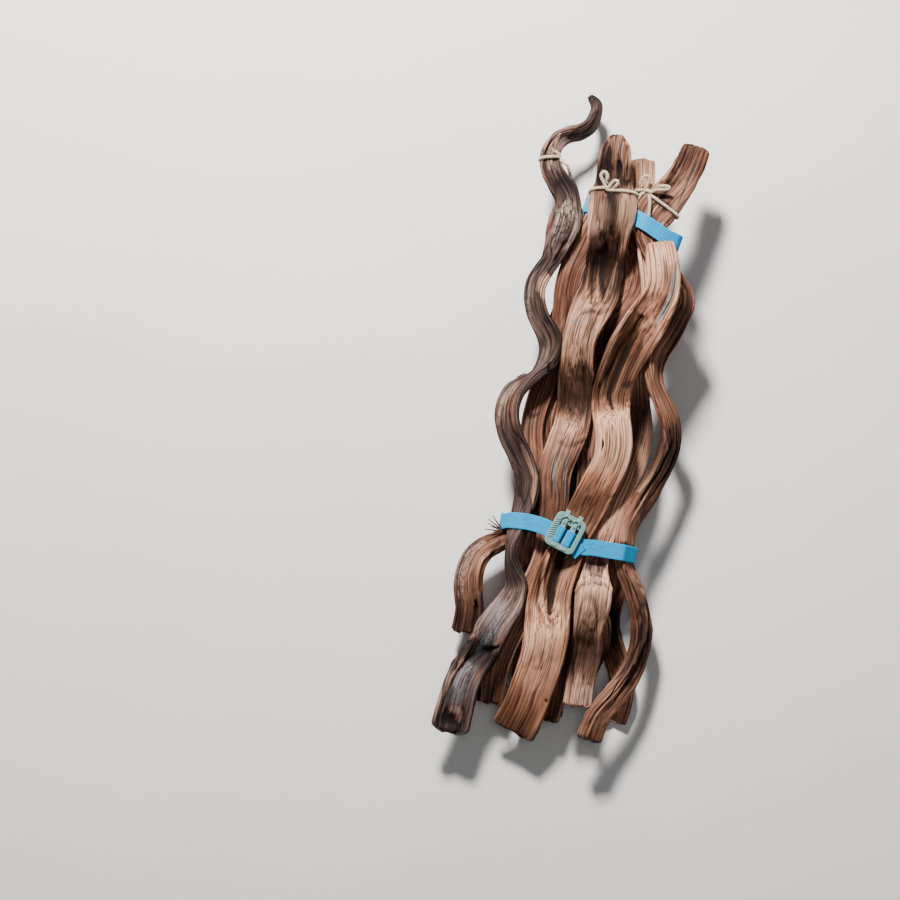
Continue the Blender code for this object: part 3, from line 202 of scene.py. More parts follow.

# What the upper face of each stem shows, laid on in this order
# Many dark marks are painted shade: under rims, steps, folds, the tongue and the bands, and in grooves, pits
# and hollows
# Many pale marks on rims, ridges and bright faces are painted highlights; the rest are the bark's own colour
MARKS = {
    "vine_curl": (
        Mark("yellow-tan edge of the foot", ((-136, -310), (-131, -288), (-122, -269), (-108, -249)),
             3, 0.6, pale=0.45),
        Mark("blue-grey streak up the foot",
             ((-126, -288), (-117, -273), (-102, -251), (-86, -229), (-74, -212)), 3, 0, grey=0.35),
        Mark("pit of a knot in the foot", ((-122, -307),), 9, -3, dark=0.95),
        Mark("ring round the pit", ((-131, -296), (-124, -292), (-115, -292), (-109, -299), (-108, -309)),
             2.5, 0, dark=0.25),
        Mark("swelling round that pit", ((-120, -304),), 18, 2, pale=0.05),
        Mark("oval knot", ((-103, -265),), 6.5, 0.9, dark=0.12),
        Mark("eye of the oval knot", ((-103, -265),), 2, -0.6, dark=0.5),
        Mark("fold under the belly", ((-106, -249), (-92, -242), (-74, -236)), 6, -1.8, dark=0.6, end=4),
        Mark("rope-like ridge on the left", ((-98, -225), (-114, -257)), 4, 1.6, pale=0.25),
        Mark("worn crest", ((-73, -210), (-66, -196)), 9, 0.6, grey=0.2, pale=0.12),
        Mark("crusty left margin of the middle bend", ((-74, -14), (-68, 8), (-54, 26)),
             4, 0.6, crust=0.5, pale=0.2),
        Mark("right ridge below the middle", ((-49, -37), (-36, -69), (-40, -99)), 4, 1.3, pale=0.3),
        Mark("dark crusty left part", ((-59, -53), (-55, -75), (-48, -94)), 5, -0.4, dark=0.45, crust=0.3),
        Mark("crusty left edge under the lump", ((-40, 122), (-45, 105), (-42, 89)), 3.6, 0.5, crust=0.5),
        Mark("lump of cracked bark", ((-4, 206), (-8, 184), (-15, 167)),
             19, 3.4, crust=0.85, dark=0.1, end=14),
        Mark("dark bark under the lump", ((-5, 161), (-17, 152), (-26, 143)), 11, 0.8, dark=0.6, end=8),
        Mark("bare pale wood", ((-24, 135), (-30, 114)), 9, 0, pale=0.55),
        Mark("crease where it twists", ((-23, 47), (-23, 35)), 3, -1.3, dark=0.55),
        Mark("pale left edge of the tip", ((-21, 247), (-19, 268), (-10, 283)), 4.5, 0.6, pale=0.5),
        Mark("dark underside of the tip", ((-1, 281), (17, 293), (28, 310)), 4.5, -0.6, dark=0.6),
        Mark("dark grooves above the lump", ((-14, 245), (-9, 233), (-2, 221)), 2.4, -1, dark=0.5),
        Mark("swelling beside the pit", ((-113, -297), (-112, -310)), 7, 1.6, pale=0.12),
        Mark("dark bend under the twine", ((-18, 243), (-10, 226)), 8, 0, dark=0.35),
        Mark("dark bends of the middle", ((-56, -21), (-52, -52), (-48, -90)), 12, 0, dark=0.3),
        Mark("blue-grey belly", ((-72, -190), (-78, -220), (-92, -239)), 12, 0, grey=0.3),
        Mark("blue-grey foot", ((-102, -254), (-116, -288)), 16, 0, grey=0.35),
    ),
    "vine_broad": (
        Mark("pale cut top", ((86, 156), (88, 135)), 17, 0, pale=0.6),
        Mark("two small dark marks", ((84, 138),), 1.8, -0.4, dark=0.85),
        Mark("grey crusty streak", ((102, 142), (100, 124), (97, 109), (90, 94), (81, 80)),
             3, -0.3, grey=0.9),
        Mark("dark edge of that streak", ((97, 138), (96, 122), (93, 109), (86, 95), (77, 82)),
             1.6, -0.5, dark=0.7),
        Mark("warm fibrous shoulder", ((74, 103), (65, 84), (55, 62)), 13, 0, warm=0.8, dark=0.15),
        Mark("left rim of the hollow", ((56, 93), (41, 64), (32, 36), (29, 6)), 4.5, 1.9, pale=0.5),
        Mark("hollow along that rim", ((68, 88), (56, 62), (45, 34), (37, 14), (39, -1)),
             9, -2.2, dark=0.4, warm=0.6, end=2.5),
        Mark("warm floor of the hollow", ((78, 78), (67, 52), (55, 21)),
             17, -1, dark=0.36, warm=0.8, end=10),
        Mark("splinter in the hollow", ((73, 73), (70, 61)), 1.6, 1.2, pale=0.95),
        Mark("torn stub", ((57, 11), (54, 1)), 5, 1.2, pale=0.3, end=3),
        Mark("shadow over the stub", ((49, 22), (57, 25)), 3, -0.8, dark=0.6),
        Mark("bright middle", ((52, -5), (52, -33), (46, -61)), 26, 0, pale=0.5, warm=0.2),
        Mark("dark stretch over the buckle", ((25, -91), (11, -113)), 26, -0.8, dark=0.42, warm=0.4),
        Mark("groove under the buckle", ((-10, -138), (-14, -156), (-21, -178), (-23, -202)),
             9, -3.8, dark=0.8, warm=0.2, end=6),
        Mark("left rim of that groove", ((-23, -143), (-30, -165), (-31, -190), (-27, -210)),
             4.5, 2.2, pale=0.35, warm=0.2, end=3),
        Mark("right rim of that groove", ((1, -146), (-7, -170), (-14, -194), (-20, -212)),
             6, 1.6, warm=0.6, pale=0.1, end=3),
        Mark("bright face under the groove", ((-25, -214), (-33, -253)), 16, 0.8, pale=0.2, warm=0.5),
        Mark("whitish mark", ((-25, -232), (-26, -249)), 2.2, 0, pale=0.95),
        Mark("brown streak", ((-30, -239), (-32, -261)), 2.4, -0.3, dark=0.45),
        Mark("nick", ((-26, -289),), 2.6, -0.9, dark=0.75),
        Mark("red-brown foot", ((-50, -278), (-62, -312)), 20, 0, warm=0.85),
        Mark("curved lines under the groove", ((-28, -206), (-22, -212), (-15, -205)), 1.4, -0.5, dark=0.5),
        Mark("second curved line", ((-30, -212), (-22, -219), (-13, -210)), 1.4, -0.4, dark=0.4),
    ),
    "vine_ladder": (
        # Darker under the twine
        Mark("dark patch under the twine", ((29, 170), (26, 147)), 20, -0.5, dark=0.5),
        Mark("light stripe", ((18, 147), (14, 108)), 2, 0.4, pale=0.6),
        Mark("second light stripe", ((28, 151), (25, 108)), 2, 0.4, pale=0.55),
        Mark("dark stripe between them", ((23, 151), (19, 104)), 1.8, -0.6, dark=0.6),
        Mark("right dark stripe", ((34, 151), (31, 111)), 1.8, -0.6, dark=0.55),
        Mark("edge of a peeled layer", ((11, 99), (18, 102), (26, 99), (35, 103)), 2.4, 0.6, pale=0.15),
        Mark("shadow under that edge", ((11, 94), (20, 97), (28, 94), (36, 98)), 2.4, -0.5, dark=0.5),
        Mark("pale right rim", ((46, 145), (41, 125), (34, 109)), 3.6, 1.5, pale=0.6),
        Mark("blue-grey stain", ((4, 89), (3, 85)), 3.6, 0, grey=1),
        Mark("broad pale face", ((10, 73), (2, 44)), 14, 0.5, pale=0.4),
        Mark("whitish nick", ((-3, 35),), 2.4, 0, pale=0.95),
        Mark("shaded right half", ((14, 38), (18, 22), (22, 4)), 11, -1.8, dark=0.55, warm=0.5, end=9),
        Mark("darkest part of the shade", ((20, 30), (23, 10)), 6, -1, dark=0.4, end=3),
        Mark("light line of the fan", ((-5, 6), (-4, -27)), 1.5, 0.3, pale=0.5),
        Mark("middle line of the fan", ((5, 2), (2, -27)), 1.5, 0.3, pale=0.5),
        Mark("right line of the fan", ((15, 2), (8, -23)), 1.5, 0.3, pale=0.5),
        Mark("step under the fan", ((-14, -29), (0, -32), (14, -26)), 2.6, 0.5, pale=0.12),
        Mark("shadow of the step", ((-12, -34), (2, -37), (14, -31)), 2.6, -0.5, dark=0.5),
        Mark("grey streak", ((-19, -41), (-16, -95)), 2, 0, grey=0.7),
        Mark("second grey streak", ((-7, -39), (-6, -97)), 2, 0, grey=0.6),
        Mark("warm bulge", ((40, 214), (39, 179)), 26, 0.8, warm=0.3, dark=0.34),
        Mark("dark left side of the top", ((35, 271), (32, 247), (28, 222)), 7, -1, dark=0.55),
        Mark("tongue folded over the top", ((49, 272), (51, 237)), 12, 2.8, warm=0.3, end=9),
        Mark("ridge of the tongue", ((50, 270), (51, 243)), 2, 0.8, grey=0.3, dark=0.3),
        Mark("shadow beside the tongue", ((38, 262), (38, 233)), 3.5, -2, dark=0.5),
        Mark("shadow under the tongue", ((40, 227), (50, 223), (58, 228)), 3.5, -1.8, dark=0.75),
        Mark("dark hollow under the strap", ((34, 161), (32, 147), (29, 130)), 12, -0.8, dark=0.5, end=8),
        Mark("brown top", ((43, 259), (40, 217), (37, 173)), 34, 0, dark=0.46, warm=0.2),
    ),
    "vine_short": (
        Mark("arched step", ((3, -182), (7, -173), (21, -168), (33, -173), (39, -182)),
             3.4, 1.6, pale=0.35),
        # Painted shadow between the band and the arched step
        Mark("painted shadow over the step", ((15, -156), (31, -156)), 19, -1.2, dark=0.62, grey=0.2),
        Mark("bright streaks", ((20, -182), (19, -215)), 15, 0.8, pale=0.4, warm=0.2, end=12),
        Mark("dark hollow", ((18, -239), (16, -271)), 20, -1.4, dark=0.4, warm=0.2, end=16),
        Mark("grey foot", ((14, -276), (9, -292)), 9, 0.5, grey=0.4, pale=0.2),
        Mark("reddish left half of the top", ((69, 252), (68, 225)), 6, -0.6, warm=0.7, dark=0.2),
        Mark("pale right rim of the top", ((85, 254), (84, 225)), 3.6, 1.2, pale=0.6),
        Mark("raised right corner of the step", ((38, -178), (34, -194), (31, -206)),
             3, 1.4, pale=0.5, end=2),
    ),
    "vine_snake": (
        Mark("dark groove below the band",
             ((60, -155), (72, -179), (78, -204), (76, -229), (62, -257), (42, -288)), 1.8, -1.8, dark=0.85),
        Mark("second groove below the band",
             ((53, -162), (64, -186), (69, -207), (67, -229), (54, -257), (34, -288)), 1.8, -1.8, dark=0.85),
        Mark("groove above the band", ((95, -11), (100, -35), (88, -61), (68, -91)), 1.8, -1.8, dark=0.8),
        Mark("second groove above the band", ((104, -15), (106, -38), (96, -62), (77, -89)),
             1.8, -1.6, dark=0.8),
        Mark("pale ridge above the band", ((91, -21), (95, -39), (83, -61), (67, -83)), 2.6, 0.8, pale=0.4),
        Mark("pale ridge below the band", ((64, -170), (73, -187), (76, -207), (72, -229), (61, -253)),
             2.4, 0.8, pale=0.4),
        Mark("bulge of the top", ((97, 241), (92, 229)), 9, 1.8, warm=0.4),
        Mark("dark stripe on the right of the top", ((130, 261), (119, 232), (106, 204)),
             1.8, -0.5, grey=0.5, dark=0.5),
        Mark("pale streaks under the right twine", ((85, 201), (78, 191)), 3.5, 0.4, pale=0.7),
        Mark("dark fold over the band", ((77, -90), (69, -110)), 7, -1, dark=0.35),
        Mark("dark left side of the top", ((105, 247), (96, 224), (88, 203)), 6, -0.8, dark=0.45),
        Mark("brown side of the top", ((109, 245), (100, 218), (92, 197)), 12, 0, dark=0.3),
        Mark("dark middle of the top", ((96, 208), (88, 185)), 9, 0, dark=0.3),
    ),
    "vine_elbow": (
        Mark("crusty left margin", ((-90, -131), (-103, -142), (-111, -162), (-112, -187)),
             5.5, 0.9, crust=0.75, pale=0.2),
        Mark("split between its two lobes", ((-96, -191), (-97, -221)), 2, -3.5, dark=0.8, end=4),
        Mark("brown inner face", ((-86, -146), (-93, -179)), 6, -0.8, warm=0.4, dark=0.25),
        Mark("dark inner edge", ((-72, -129), (-81, -147)), 5, -0.8, dark=0.5),
    ),
}


def unit(vectors):
    """Vectors of length 1 along the last axis."""
    return vectors / np.maximum(np.linalg.norm(vectors, axis=-1, keepdims=True), 1e-9)


def smooth_step(value):
    """Eases 0 to 1, and holds outside."""
    value = np.clip(value, 0.0, 1.0)
    return value * value * (3 - 2 * value)


def neighbours(vertices):
    """The vertices one edge away from any of these."""
    return {edge.other_vert(vertex) for vertex in vertices for edge in vertex.link_edges}


def welded(node):
    """A node's mesh without doubled vertices, and the middle vertex of one of its end caps.

    All the neighbours of that vertex have five edges."""
    mesh = bmesh.new()
    mesh.from_mesh(node.data)
    bmesh.ops.remove_doubles(mesh, verts=mesh.verts, dist=1e-6)
    for vertex in mesh.verts:
        others = neighbours([vertex])
        if len(others) >= 4 and all(len(other.link_edges) == 5 for other in others):
            return mesh, vertex
    raise ValueError(f"{node.name} has no end cap")


def in_order(ring):
    """The vertices of a ring, one after another round it."""
    left = set(ring[1:])
    order = [ring[0]]
    while left:
        ahead = (edge.other_vert(order[-1]) for edge in order[-1].link_edges)
        step = next((vertex for vertex in ahead if vertex in left), None)
        if step is None:
            break
        order.append(step)
        left.discard(step)
    return order


def matched(ring, previous):
    """The same ring, turned and wound so that its points follow those of the previous one."""
    shape = ring - ring.mean(axis=0)
    before = previous - previous.mean(axis=0)
    options = [np.roll(wound, shift, axis=0) for wound in (shape, shape[::-1]) for shift in range(len(ring))]
    best = min(options, key=lambda option: ((option - before) ** 2).sum())
    return best + ring.mean(axis=0)


def layers_of(node):
    """The rings of a tube-like CAD node from one end to the other, found by stepping along its edges."""
    mesh, centre = welded(node)
    seen = {centre}
    ring = [edge.other_vert(centre) for edge in centre.link_edges]
    layers = []
    while len(ring) > 1:
        seen.update(ring)
        layers.append(np.array([vertex.co for vertex in in_order(ring)]) / MM)
        ring = sorted(neighbours(ring) - seen, key=lambda vertex: vertex.index)
    mesh.free()
    return layers


def rings_of(node):
    """The rings of a stem, with their points in line, shaped (rings, points, 3)."""
    rings = layers_of(node)
    for i in range(1, len(rings)):
        rings[i] = matched(rings[i], rings[i - 1])
    return np.array(rings)


def from_foot(rings):
    """The rings from the foot of a stem to its tip, each from its right edge up and round to the left."""
    if rings[0, :, 1].mean() > rings[-1, :, 1].mean():
        rings = rings[::-1]
    centres = rings.mean(axis=1)
    spans = np.ptp(rings, axis=1)[:, 0] * (np.abs(np.gradient(centres, axis=0)[:, 1]) > 8)
    i = int(np.argmax(spans[3:-3])) + 3
    tangent = unit(centres[i + 1] - centres[i - 1])
    across = unit(np.cross(tangent, (0.0, 0.0, 1.0)))
    out = np.cross(across, tangent)
    flat = (rings[i] - centres[i]) @ across
    height = (rings[i] - centres[i]) @ out
    first, second = np.argsort(-flat)[:2]
    start = first if height[first] > height[second] else second
    other = second if start == first else first
    count = rings.shape[1]
    if other == (start + 1) % count:
        rings = rings[:, ::-1]
        start = count - 1 - start
    return np.roll(rings, -start, axis=1)


def resample(values, count, closed=False):
    """Values at even steps along the first axis, on smooth curves through the given ones."""
    n = len(values)
    position = np.arange(count) * n / count if closed else np.linspace(0, n - 1, count)
    base = np.floor(position).astype(int)
    t = position - base
    weights = (0.5 * (-t ** 3 + 2 * t ** 2 - t), 0.5 * (3 * t ** 3 - 5 * t ** 2 + 2),
               0.5 * (-3 * t ** 3 + 4 * t ** 2 + t), 0.5 * (t ** 3 - t ** 2))
    total = 0.0
    for step, weight in enumerate(weights):
        index = base + step - 1
        index = index % n if closed else np.clip(index, 0, n - 1)
        total = total + values[index] * weight.reshape(-1, *[1] * (values.ndim - 1))
    return total


def spline(t):
    """The weights of four values in a row, for a place between the middle two."""
    return ((1 - t) ** 3 / 6, (3 * t ** 3 - 6 * t ** 2 + 4) / 6,
            (-3 * t ** 3 + 3 * t ** 2 + 3 * t + 1) / 6, t ** 3 / 6)


def noise(seed, along, turns, cells):
    """Smooth random values of about -1 to 1 that close up round a stem.

    along counts cells along the stem and turns is 0 to 1 round it, where there are so many cells."""
    rng = np.random.default_rng(seed)
    along = along - along.min()
    grid = rng.standard_normal((int(along.max()) + 5, cells))
    x = (turns % 1.0) * cells
    y0, x0 = np.floor(along).astype(int), np.floor(x).astype(int)
    total = 0.0
    for i, down in enumerate(spline(along - y0)):
        for j, sideways in enumerate(spline(x - x0)):
            total = total + down * sideways * grid[y0 + i, (x0 + j) % cells]
    return total * 1.9


def near_mark(points, mark, torn):
    """1 for points on a mark's line seen from above, easing to 0 at its reach.

    The reach tapers at both ends of the line, and torn, values of about -1 to 1, breaks its edge."""
    line = np.array(mark.line, float)
    dot = len(line) == 1
    if dot:
        line = np.vstack([line, line + 0.01])
    end = mark.end or mark.reach
    steps = np.linalg.norm(np.diff(line, axis=0), axis=1)
    places = np.concatenate([[0.0], np.cumsum(steps)]) / steps.sum()
    nearest = np.full(points.shape[:-1], 1e9)
    for i, (first, last) in enumerate(zip(line[:-1], line[1:])):
        way = last - first
        share = np.clip(((points[..., :2] - first) @ way) / (way @ way), 0.0, 1.0)
        distance = np.linalg.norm(points[..., :2] - first - share[..., None] * way, axis=-1)
        place = places[i] + (places[i + 1] - places[i]) * share
        width = mark.reach + (end - mark.reach) * place
        if not dot:
            width = width * (0.45 + 0.55 * smooth_step(4.0 * np.minimum(place, 1.0 - place)))
        nearest = np.minimum(nearest, distance / width)
    return smooth_step(1.15 - nearest * (1.0 + 0.35 * torn))


def rounded_ends(points, centres, look):
    """Surface rows that draw in towards both cut ends of their stem."""
    steps = np.linalg.norm(np.diff(centres, axis=0), axis=1)
    along = np.concatenate([[0.0], np.cumsum(steps)])
    foot = np.clip(1.0 - along / look.round_foot, 0.0, 0.93)
    tip = np.clip(1.0 - (along[-1] - along) / look.round_tip, 0.0, 0.93)
    scale = np.sqrt(1.0 - foot ** 2) * np.sqrt(1.0 - tip ** 2)
    return centres[:, None] + (points - centres[:, None]) * scale[:, None, None]


def facing(points):
    """Outward directions of surface rows."""
    round_it = np.roll(points, -1, axis=1) - np.roll(points, 1, axis=1)
    lengthwise = np.gradient(points, axis=0)
    return unit(np.cross(lengthwise, round_it))


class Stem:
    """A stem drawn finely: its surface rows, and where each point is in the straightened stem."""

    def __init__(self, name, detail):
        rings = from_foot(rings_of(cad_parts[name]))
        rows, count = (len(rings) - 1) * detail[0] + 1, detail[1]
        points = resample(rings, rows)
        points = np.swapaxes(resample(np.swapaxes(points, 0, 1), count, closed=True), 0, 1)
        self.name = name
        self.turns = np.tile((np.arange(count) / count + 0.5 / rings.shape[1])[None], (rows, 1))
        centres = points.mean(axis=1)
        points = rounded_ends(points, centres, LOOKS[name])
        self.tangent = unit(np.gradient(centres, axis=0))
        across = points[:, 0] - points[:, count // 2]
        across -= (across * self.tangent).sum(axis=1)[:, None] * self.tangent
        self.across = unit(across)
        self.out = np.cross(self.across, self.tangent)
        lengths = np.linalg.norm(np.diff(centres, axis=0), axis=1)
        self.along = np.concatenate([[0.0], np.cumsum(lengths)])
        self.centres = centres
        self.points = points
        self.normals = facing(points)

    def flow(self):
        """Its points as (across, out, along) in the straightened stem."""
        offset = self.points - self.centres[:, None]
        across = (offset * self.across[:, None]).sum(axis=-1)
        out = (offset * self.out[:, None]).sum(axis=-1)
        return np.stack([across, out, self.lengthwise()], axis=-1)

    def lengthwise(self):
        """How far along the stem each point is."""
        return np.broadcast_to(self.along[:, None], self.turns.shape)


def bark_relief(stem, look):
    """The height of the bark over the stem's plain surface, and how deep its splits are, 0 to 1."""
    along = stem.lengthwise()
    seed = look.seed * 100
    turns = stem.turns + 0.03 * noise(seed, along / 70, stem.turns, 4)
    turns = turns + 0.008 * noise(seed + 1, along / 18, stem.turns, 8)
    across = np.abs(np.cos(2 * math.pi * stem.turns))
    rims = np.exp(-((across - 0.86) / 0.13) ** 2)
    rims = rims * (1.0 + 0.8 * noise(seed + 10, along / 50, stem.turns, 3))
    strands = noise(seed + 2, along / 120, turns, look.strands)
    strands = np.minimum(np.abs(strands) ** 0.6, 1.2) - 0.62
    splits = noise(seed + 3, along / 60, turns, look.strands // 2)
    splits = smooth_step(1.0 - np.abs(splits) / 0.14)
    splits = splits * smooth_step(noise(seed + 4, along / 30, turns, 6) * 1.2 - 0.3)
    layers = noise(seed + 5, along / 34, turns, 6) + 0.3 * noise(seed + 6, along / 7, turns, 26)
    layers = smooth_step(layers / 0.16 + 0.5)
    fibres = noise(seed + 7, along / 45, turns, 46)
    crumbs = noise(seed + 8, along / 5, turns, 36)
    lumps = noise(seed + 9, along / 24, turns, 5)
    relief = 0.50 * strands - 0.8 * splits + 0.26 * layers + 0.30 * fibres + 0.12 * crumbs + 0.35 * lumps
    return look.rim * rims + look.relief * relief - 0.3, splits


def clearance(name, points):
    """How far each point is from any other piece, below 0 where it is inside one."""
    corners, faces = [], []
    for other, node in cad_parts.items():
        if other != name:
            start = len(corners)
            corners.extend(vertex.co / MM for vertex in node.data.vertices)
            faces.extend([start + i for i in polygon.vertices] for polygon in node.data.polygons)
    tree = BVHTree.FromPolygons(corners, faces)
    room = np.full(len(points), ROOM_REACH)
    for i, point in enumerate(points):
        place, normal, _, distance = tree.find_nearest(Vector(point), ROOM_REACH)
        if place is not None:
            room[i] = distance if (Vector(point) - place).dot(normal) >= 0 else -distance
    return room


def blurred_line(values, reach):
    """Values along a line, averaged with their neighbours as far as the reach."""
    steps = np.arange(-int(2 * reach), int(2 * reach) + 1)
    weights = np.exp(-(steps / reach) ** 2)
    padded = np.pad(values, int(2 * reach), mode="edge")
    return np.convolve(padded, weights / weights.sum(), mode="valid")


def local_contrast(height, reach):
    """How far each point stands over the average around it."""
    blurred = height.copy()
    for _ in range(reach):
        blurred = (blurred + np.roll(blurred, 1, axis=1) + np.roll(blurred, -1, axis=1)) / 3
        padded = np.pad(blurred, ((1, 1), (0, 0)), mode="edge")
        blurred = (padded[:-2] + padded[1:-1] + padded[2:]) / 3
    return height - blurred


def cap(stem, end, rng):
    """Rows of points over a cut end, from its rim to near its middle, the flow there, and the middle."""
    row = 0 if end == 0 else -1
    way = -stem.tangent[0] if end == 0 else stem.tangent[-1]
    rim = stem.points[row]
    centre = rim.mean(axis=0)
    flow = stem.flow()[row]
    reach = min(1.0, np.ptp(flow[:, 0]) / CAP_WIDTH)
    rows, flows = [], []
    for share in CAP_ROWS:
        ragged = reach * rng.normal(0.0, CAP_RAGGED, len(rim)) * smooth_step((share - 0.1) / 0.5)
        lumps = noise(7 + end, np.full(len(rim), 3.0 * share + 0.3), stem.turns[0], 9)
        height = ragged + reach * (CAP_CLUMPS * lumps - CAP_DIP * (1 - share))
        rows.append(centre + (rim - centre) * share + way * height[:, None])
        flows.append(flow * (share, share, 1.0))
    return rows, flows, centre - way * CAP_DIP


def grid_faces(rows, count):
    """Quads between rows of points that close up."""
    first = np.arange(rows - 1)[:, None] * count + np.arange(count)
    ahead = np.arange(rows - 1)[:, None] * count + (np.arange(count) + 1) % count
    return np.stack([first, first + count, ahead + count, ahead], axis=-1).reshape(-1, 4)


def mesh_object(name, points, faces, material):
    """A mesh from points in millimetres, none of them under the floor."""
    points = np.array(points, float)
    points[:, 2] = np.maximum(points[:, 2], 0.0)
    mesh = bpy.data.meshes.new(name)
    mesh.from_pydata((points * MM).tolist(), [], [list(map(int, face)) for face in faces])
    mesh.materials.append(material)
    mesh.shade_smooth()
    mesh.update()
    body = bpy.data.objects.new(name, mesh)
    bpy.context.scene.collection.objects.link(body)
    return body


def add_values(body, name, kind, values):
    """Stores a value for each point, which the material reads by its name."""
    attribute = body.data.attributes.new(name, kind, "POINT")
    field = "vector" if kind == "FLOAT_VECTOR" else "value"
    attribute.data.foreach_set(field, np.asarray(values, np.float32).ravel())


def joined(parts):
    """The points and faces of several parts as one."""
    points, faces, start = [], [], 0
    for more, sides in parts:
        points.append(more)
        faces.extend([start + i for i in side] for side in sides)
        start += len(more)
    return np.vstack(points), faces


def splinters():
    """The points and faces of the torn fibres, each a thin tube that tapers to its tip."""
    paths = [resample(np.array(line, float), 8) for line in SPLINTERS]
    return joined([fibre(path, 1.2, 0.4, 5) for path in paths])


def marked(stem, look, height):
    """The bark's height with its marks on it, and how far they turn the colour of each point."""
    upper = smooth_step(stem.normals[..., 2] * 2.5 + 0.6)
    along = stem.lengthwise()
    torn = noise(look.seed + 900, along / 24, stem.turns, 26)
    torn = torn + 0.4 * noise(look.seed + 901, along / 10, stem.turns, 40)
    tones = {key: np.zeros(height.shape) for key in TONES}
    for mark in MARKS.get(stem.name, ()):
        weight = near_mark(stem.points, mark, torn) * upper
        height = height + mark.lift * weight * (1.0 + 0.12 * torn)
        for key, tone in tones.items():
            tone += weight * (1.0 + 0.25 * torn) * getattr(mark, key)
    return height, tones


def crests(stem):
    """How far each row of a stem stands over those around it, for each of its points."""
    level = stem.points[..., 2].mean(axis=1) + stem.points[:, stem.points.shape[1] // 4, 2]
    spacing = float(np.diff(stem.along).mean())
    crest = (level - blurred_line(level, CREST_REACH / spacing)) / CREST_HEIGHT
    return np.broadcast_to(crest[:, None], stem.turns.shape)


def over_caps(values, fill):
    """A value for each point of a stem and of its two cut ends, where it is fill."""
    rows = len(CAP_ROWS)
    return np.append(np.pad(values, ((rows, rows), (0, 0)), constant_values=fill), [fill, fill])


def dress_stem(name, detail):
    """A stem with its bark, its marks and its cut ends, in place of its CAD node."""
    look = LOOKS[name]
    rng = np.random.default_rng(look.seed)
    stem = Stem(name, detail)
    height, splits = bark_relief(stem, look)
    height, tones = marked(stem, look, height)
    room = clearance(name, stem.points.reshape(-1, 3)).reshape(height.shape)
    spare = room - BARK_GAP
    height = np.minimum(height, np.where(room > BARK_GAP + 0.1, spare * 0.6, spare))
    # Painted shade: darker inside the splits and where another piece comes near
    tones["dark"] += 0.6 * splits + 0.5 * smooth_step(1.0 - room / SHADE_REACH)
    # Painted light and shade: lighter on raised relief and crests, darker in low relief and troughs
    tones["relief"] = local_contrast(height, 4)
    tones["crest"] = crests(stem)
    values = {key: over_caps(tone, 0.0) for key, tone in tones.items()}
    values["cut"] = over_caps(np.zeros(height.shape), 1.0)
    surface = stem.points + stem.normals * height[..., None]
    foot_rows, foot_flows, foot_centre = cap(stem, 0, rng)
    tip_rows, tip_flows, tip_centre = cap(stem, 1, rng)
    rows = np.array([*foot_rows[::-1], *surface, *tip_rows])
    flows = np.array([*foot_flows[::-1], *stem.flow(), *tip_flows])
    points = np.vstack([rows.reshape(-1, 3), foot_centre, tip_centre])
    flow = np.vstack([flows.reshape(-1, 3), flows[0].mean(axis=0), flows[-1].mean(axis=0)])
    faces = tube_faces(*rows.shape[:2])
    if name == "vine_elbow":
        loose, loose_faces = splinters()
        points, faces = joined([(points, faces), (loose, loose_faces)])
        flow = np.vstack([flow, loose[:, [0, 2, 1]]])
        values = {key: np.append(value, np.zeros(len(loose))) for key, value in values.items()}
    body = mesh_object(name + "_bark", points, faces, BARKS[name])
    add_values(body, "flow", "FLOAT_VECTOR", flow)
    for key, value in values.items():
        add_values(body, key, "FLOAT", value)
    return dressed(body, name)


def dressed(body, node):
    """Sets a piece in place of its CAD node."""
    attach(body, "root")
    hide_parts(node)
    return body


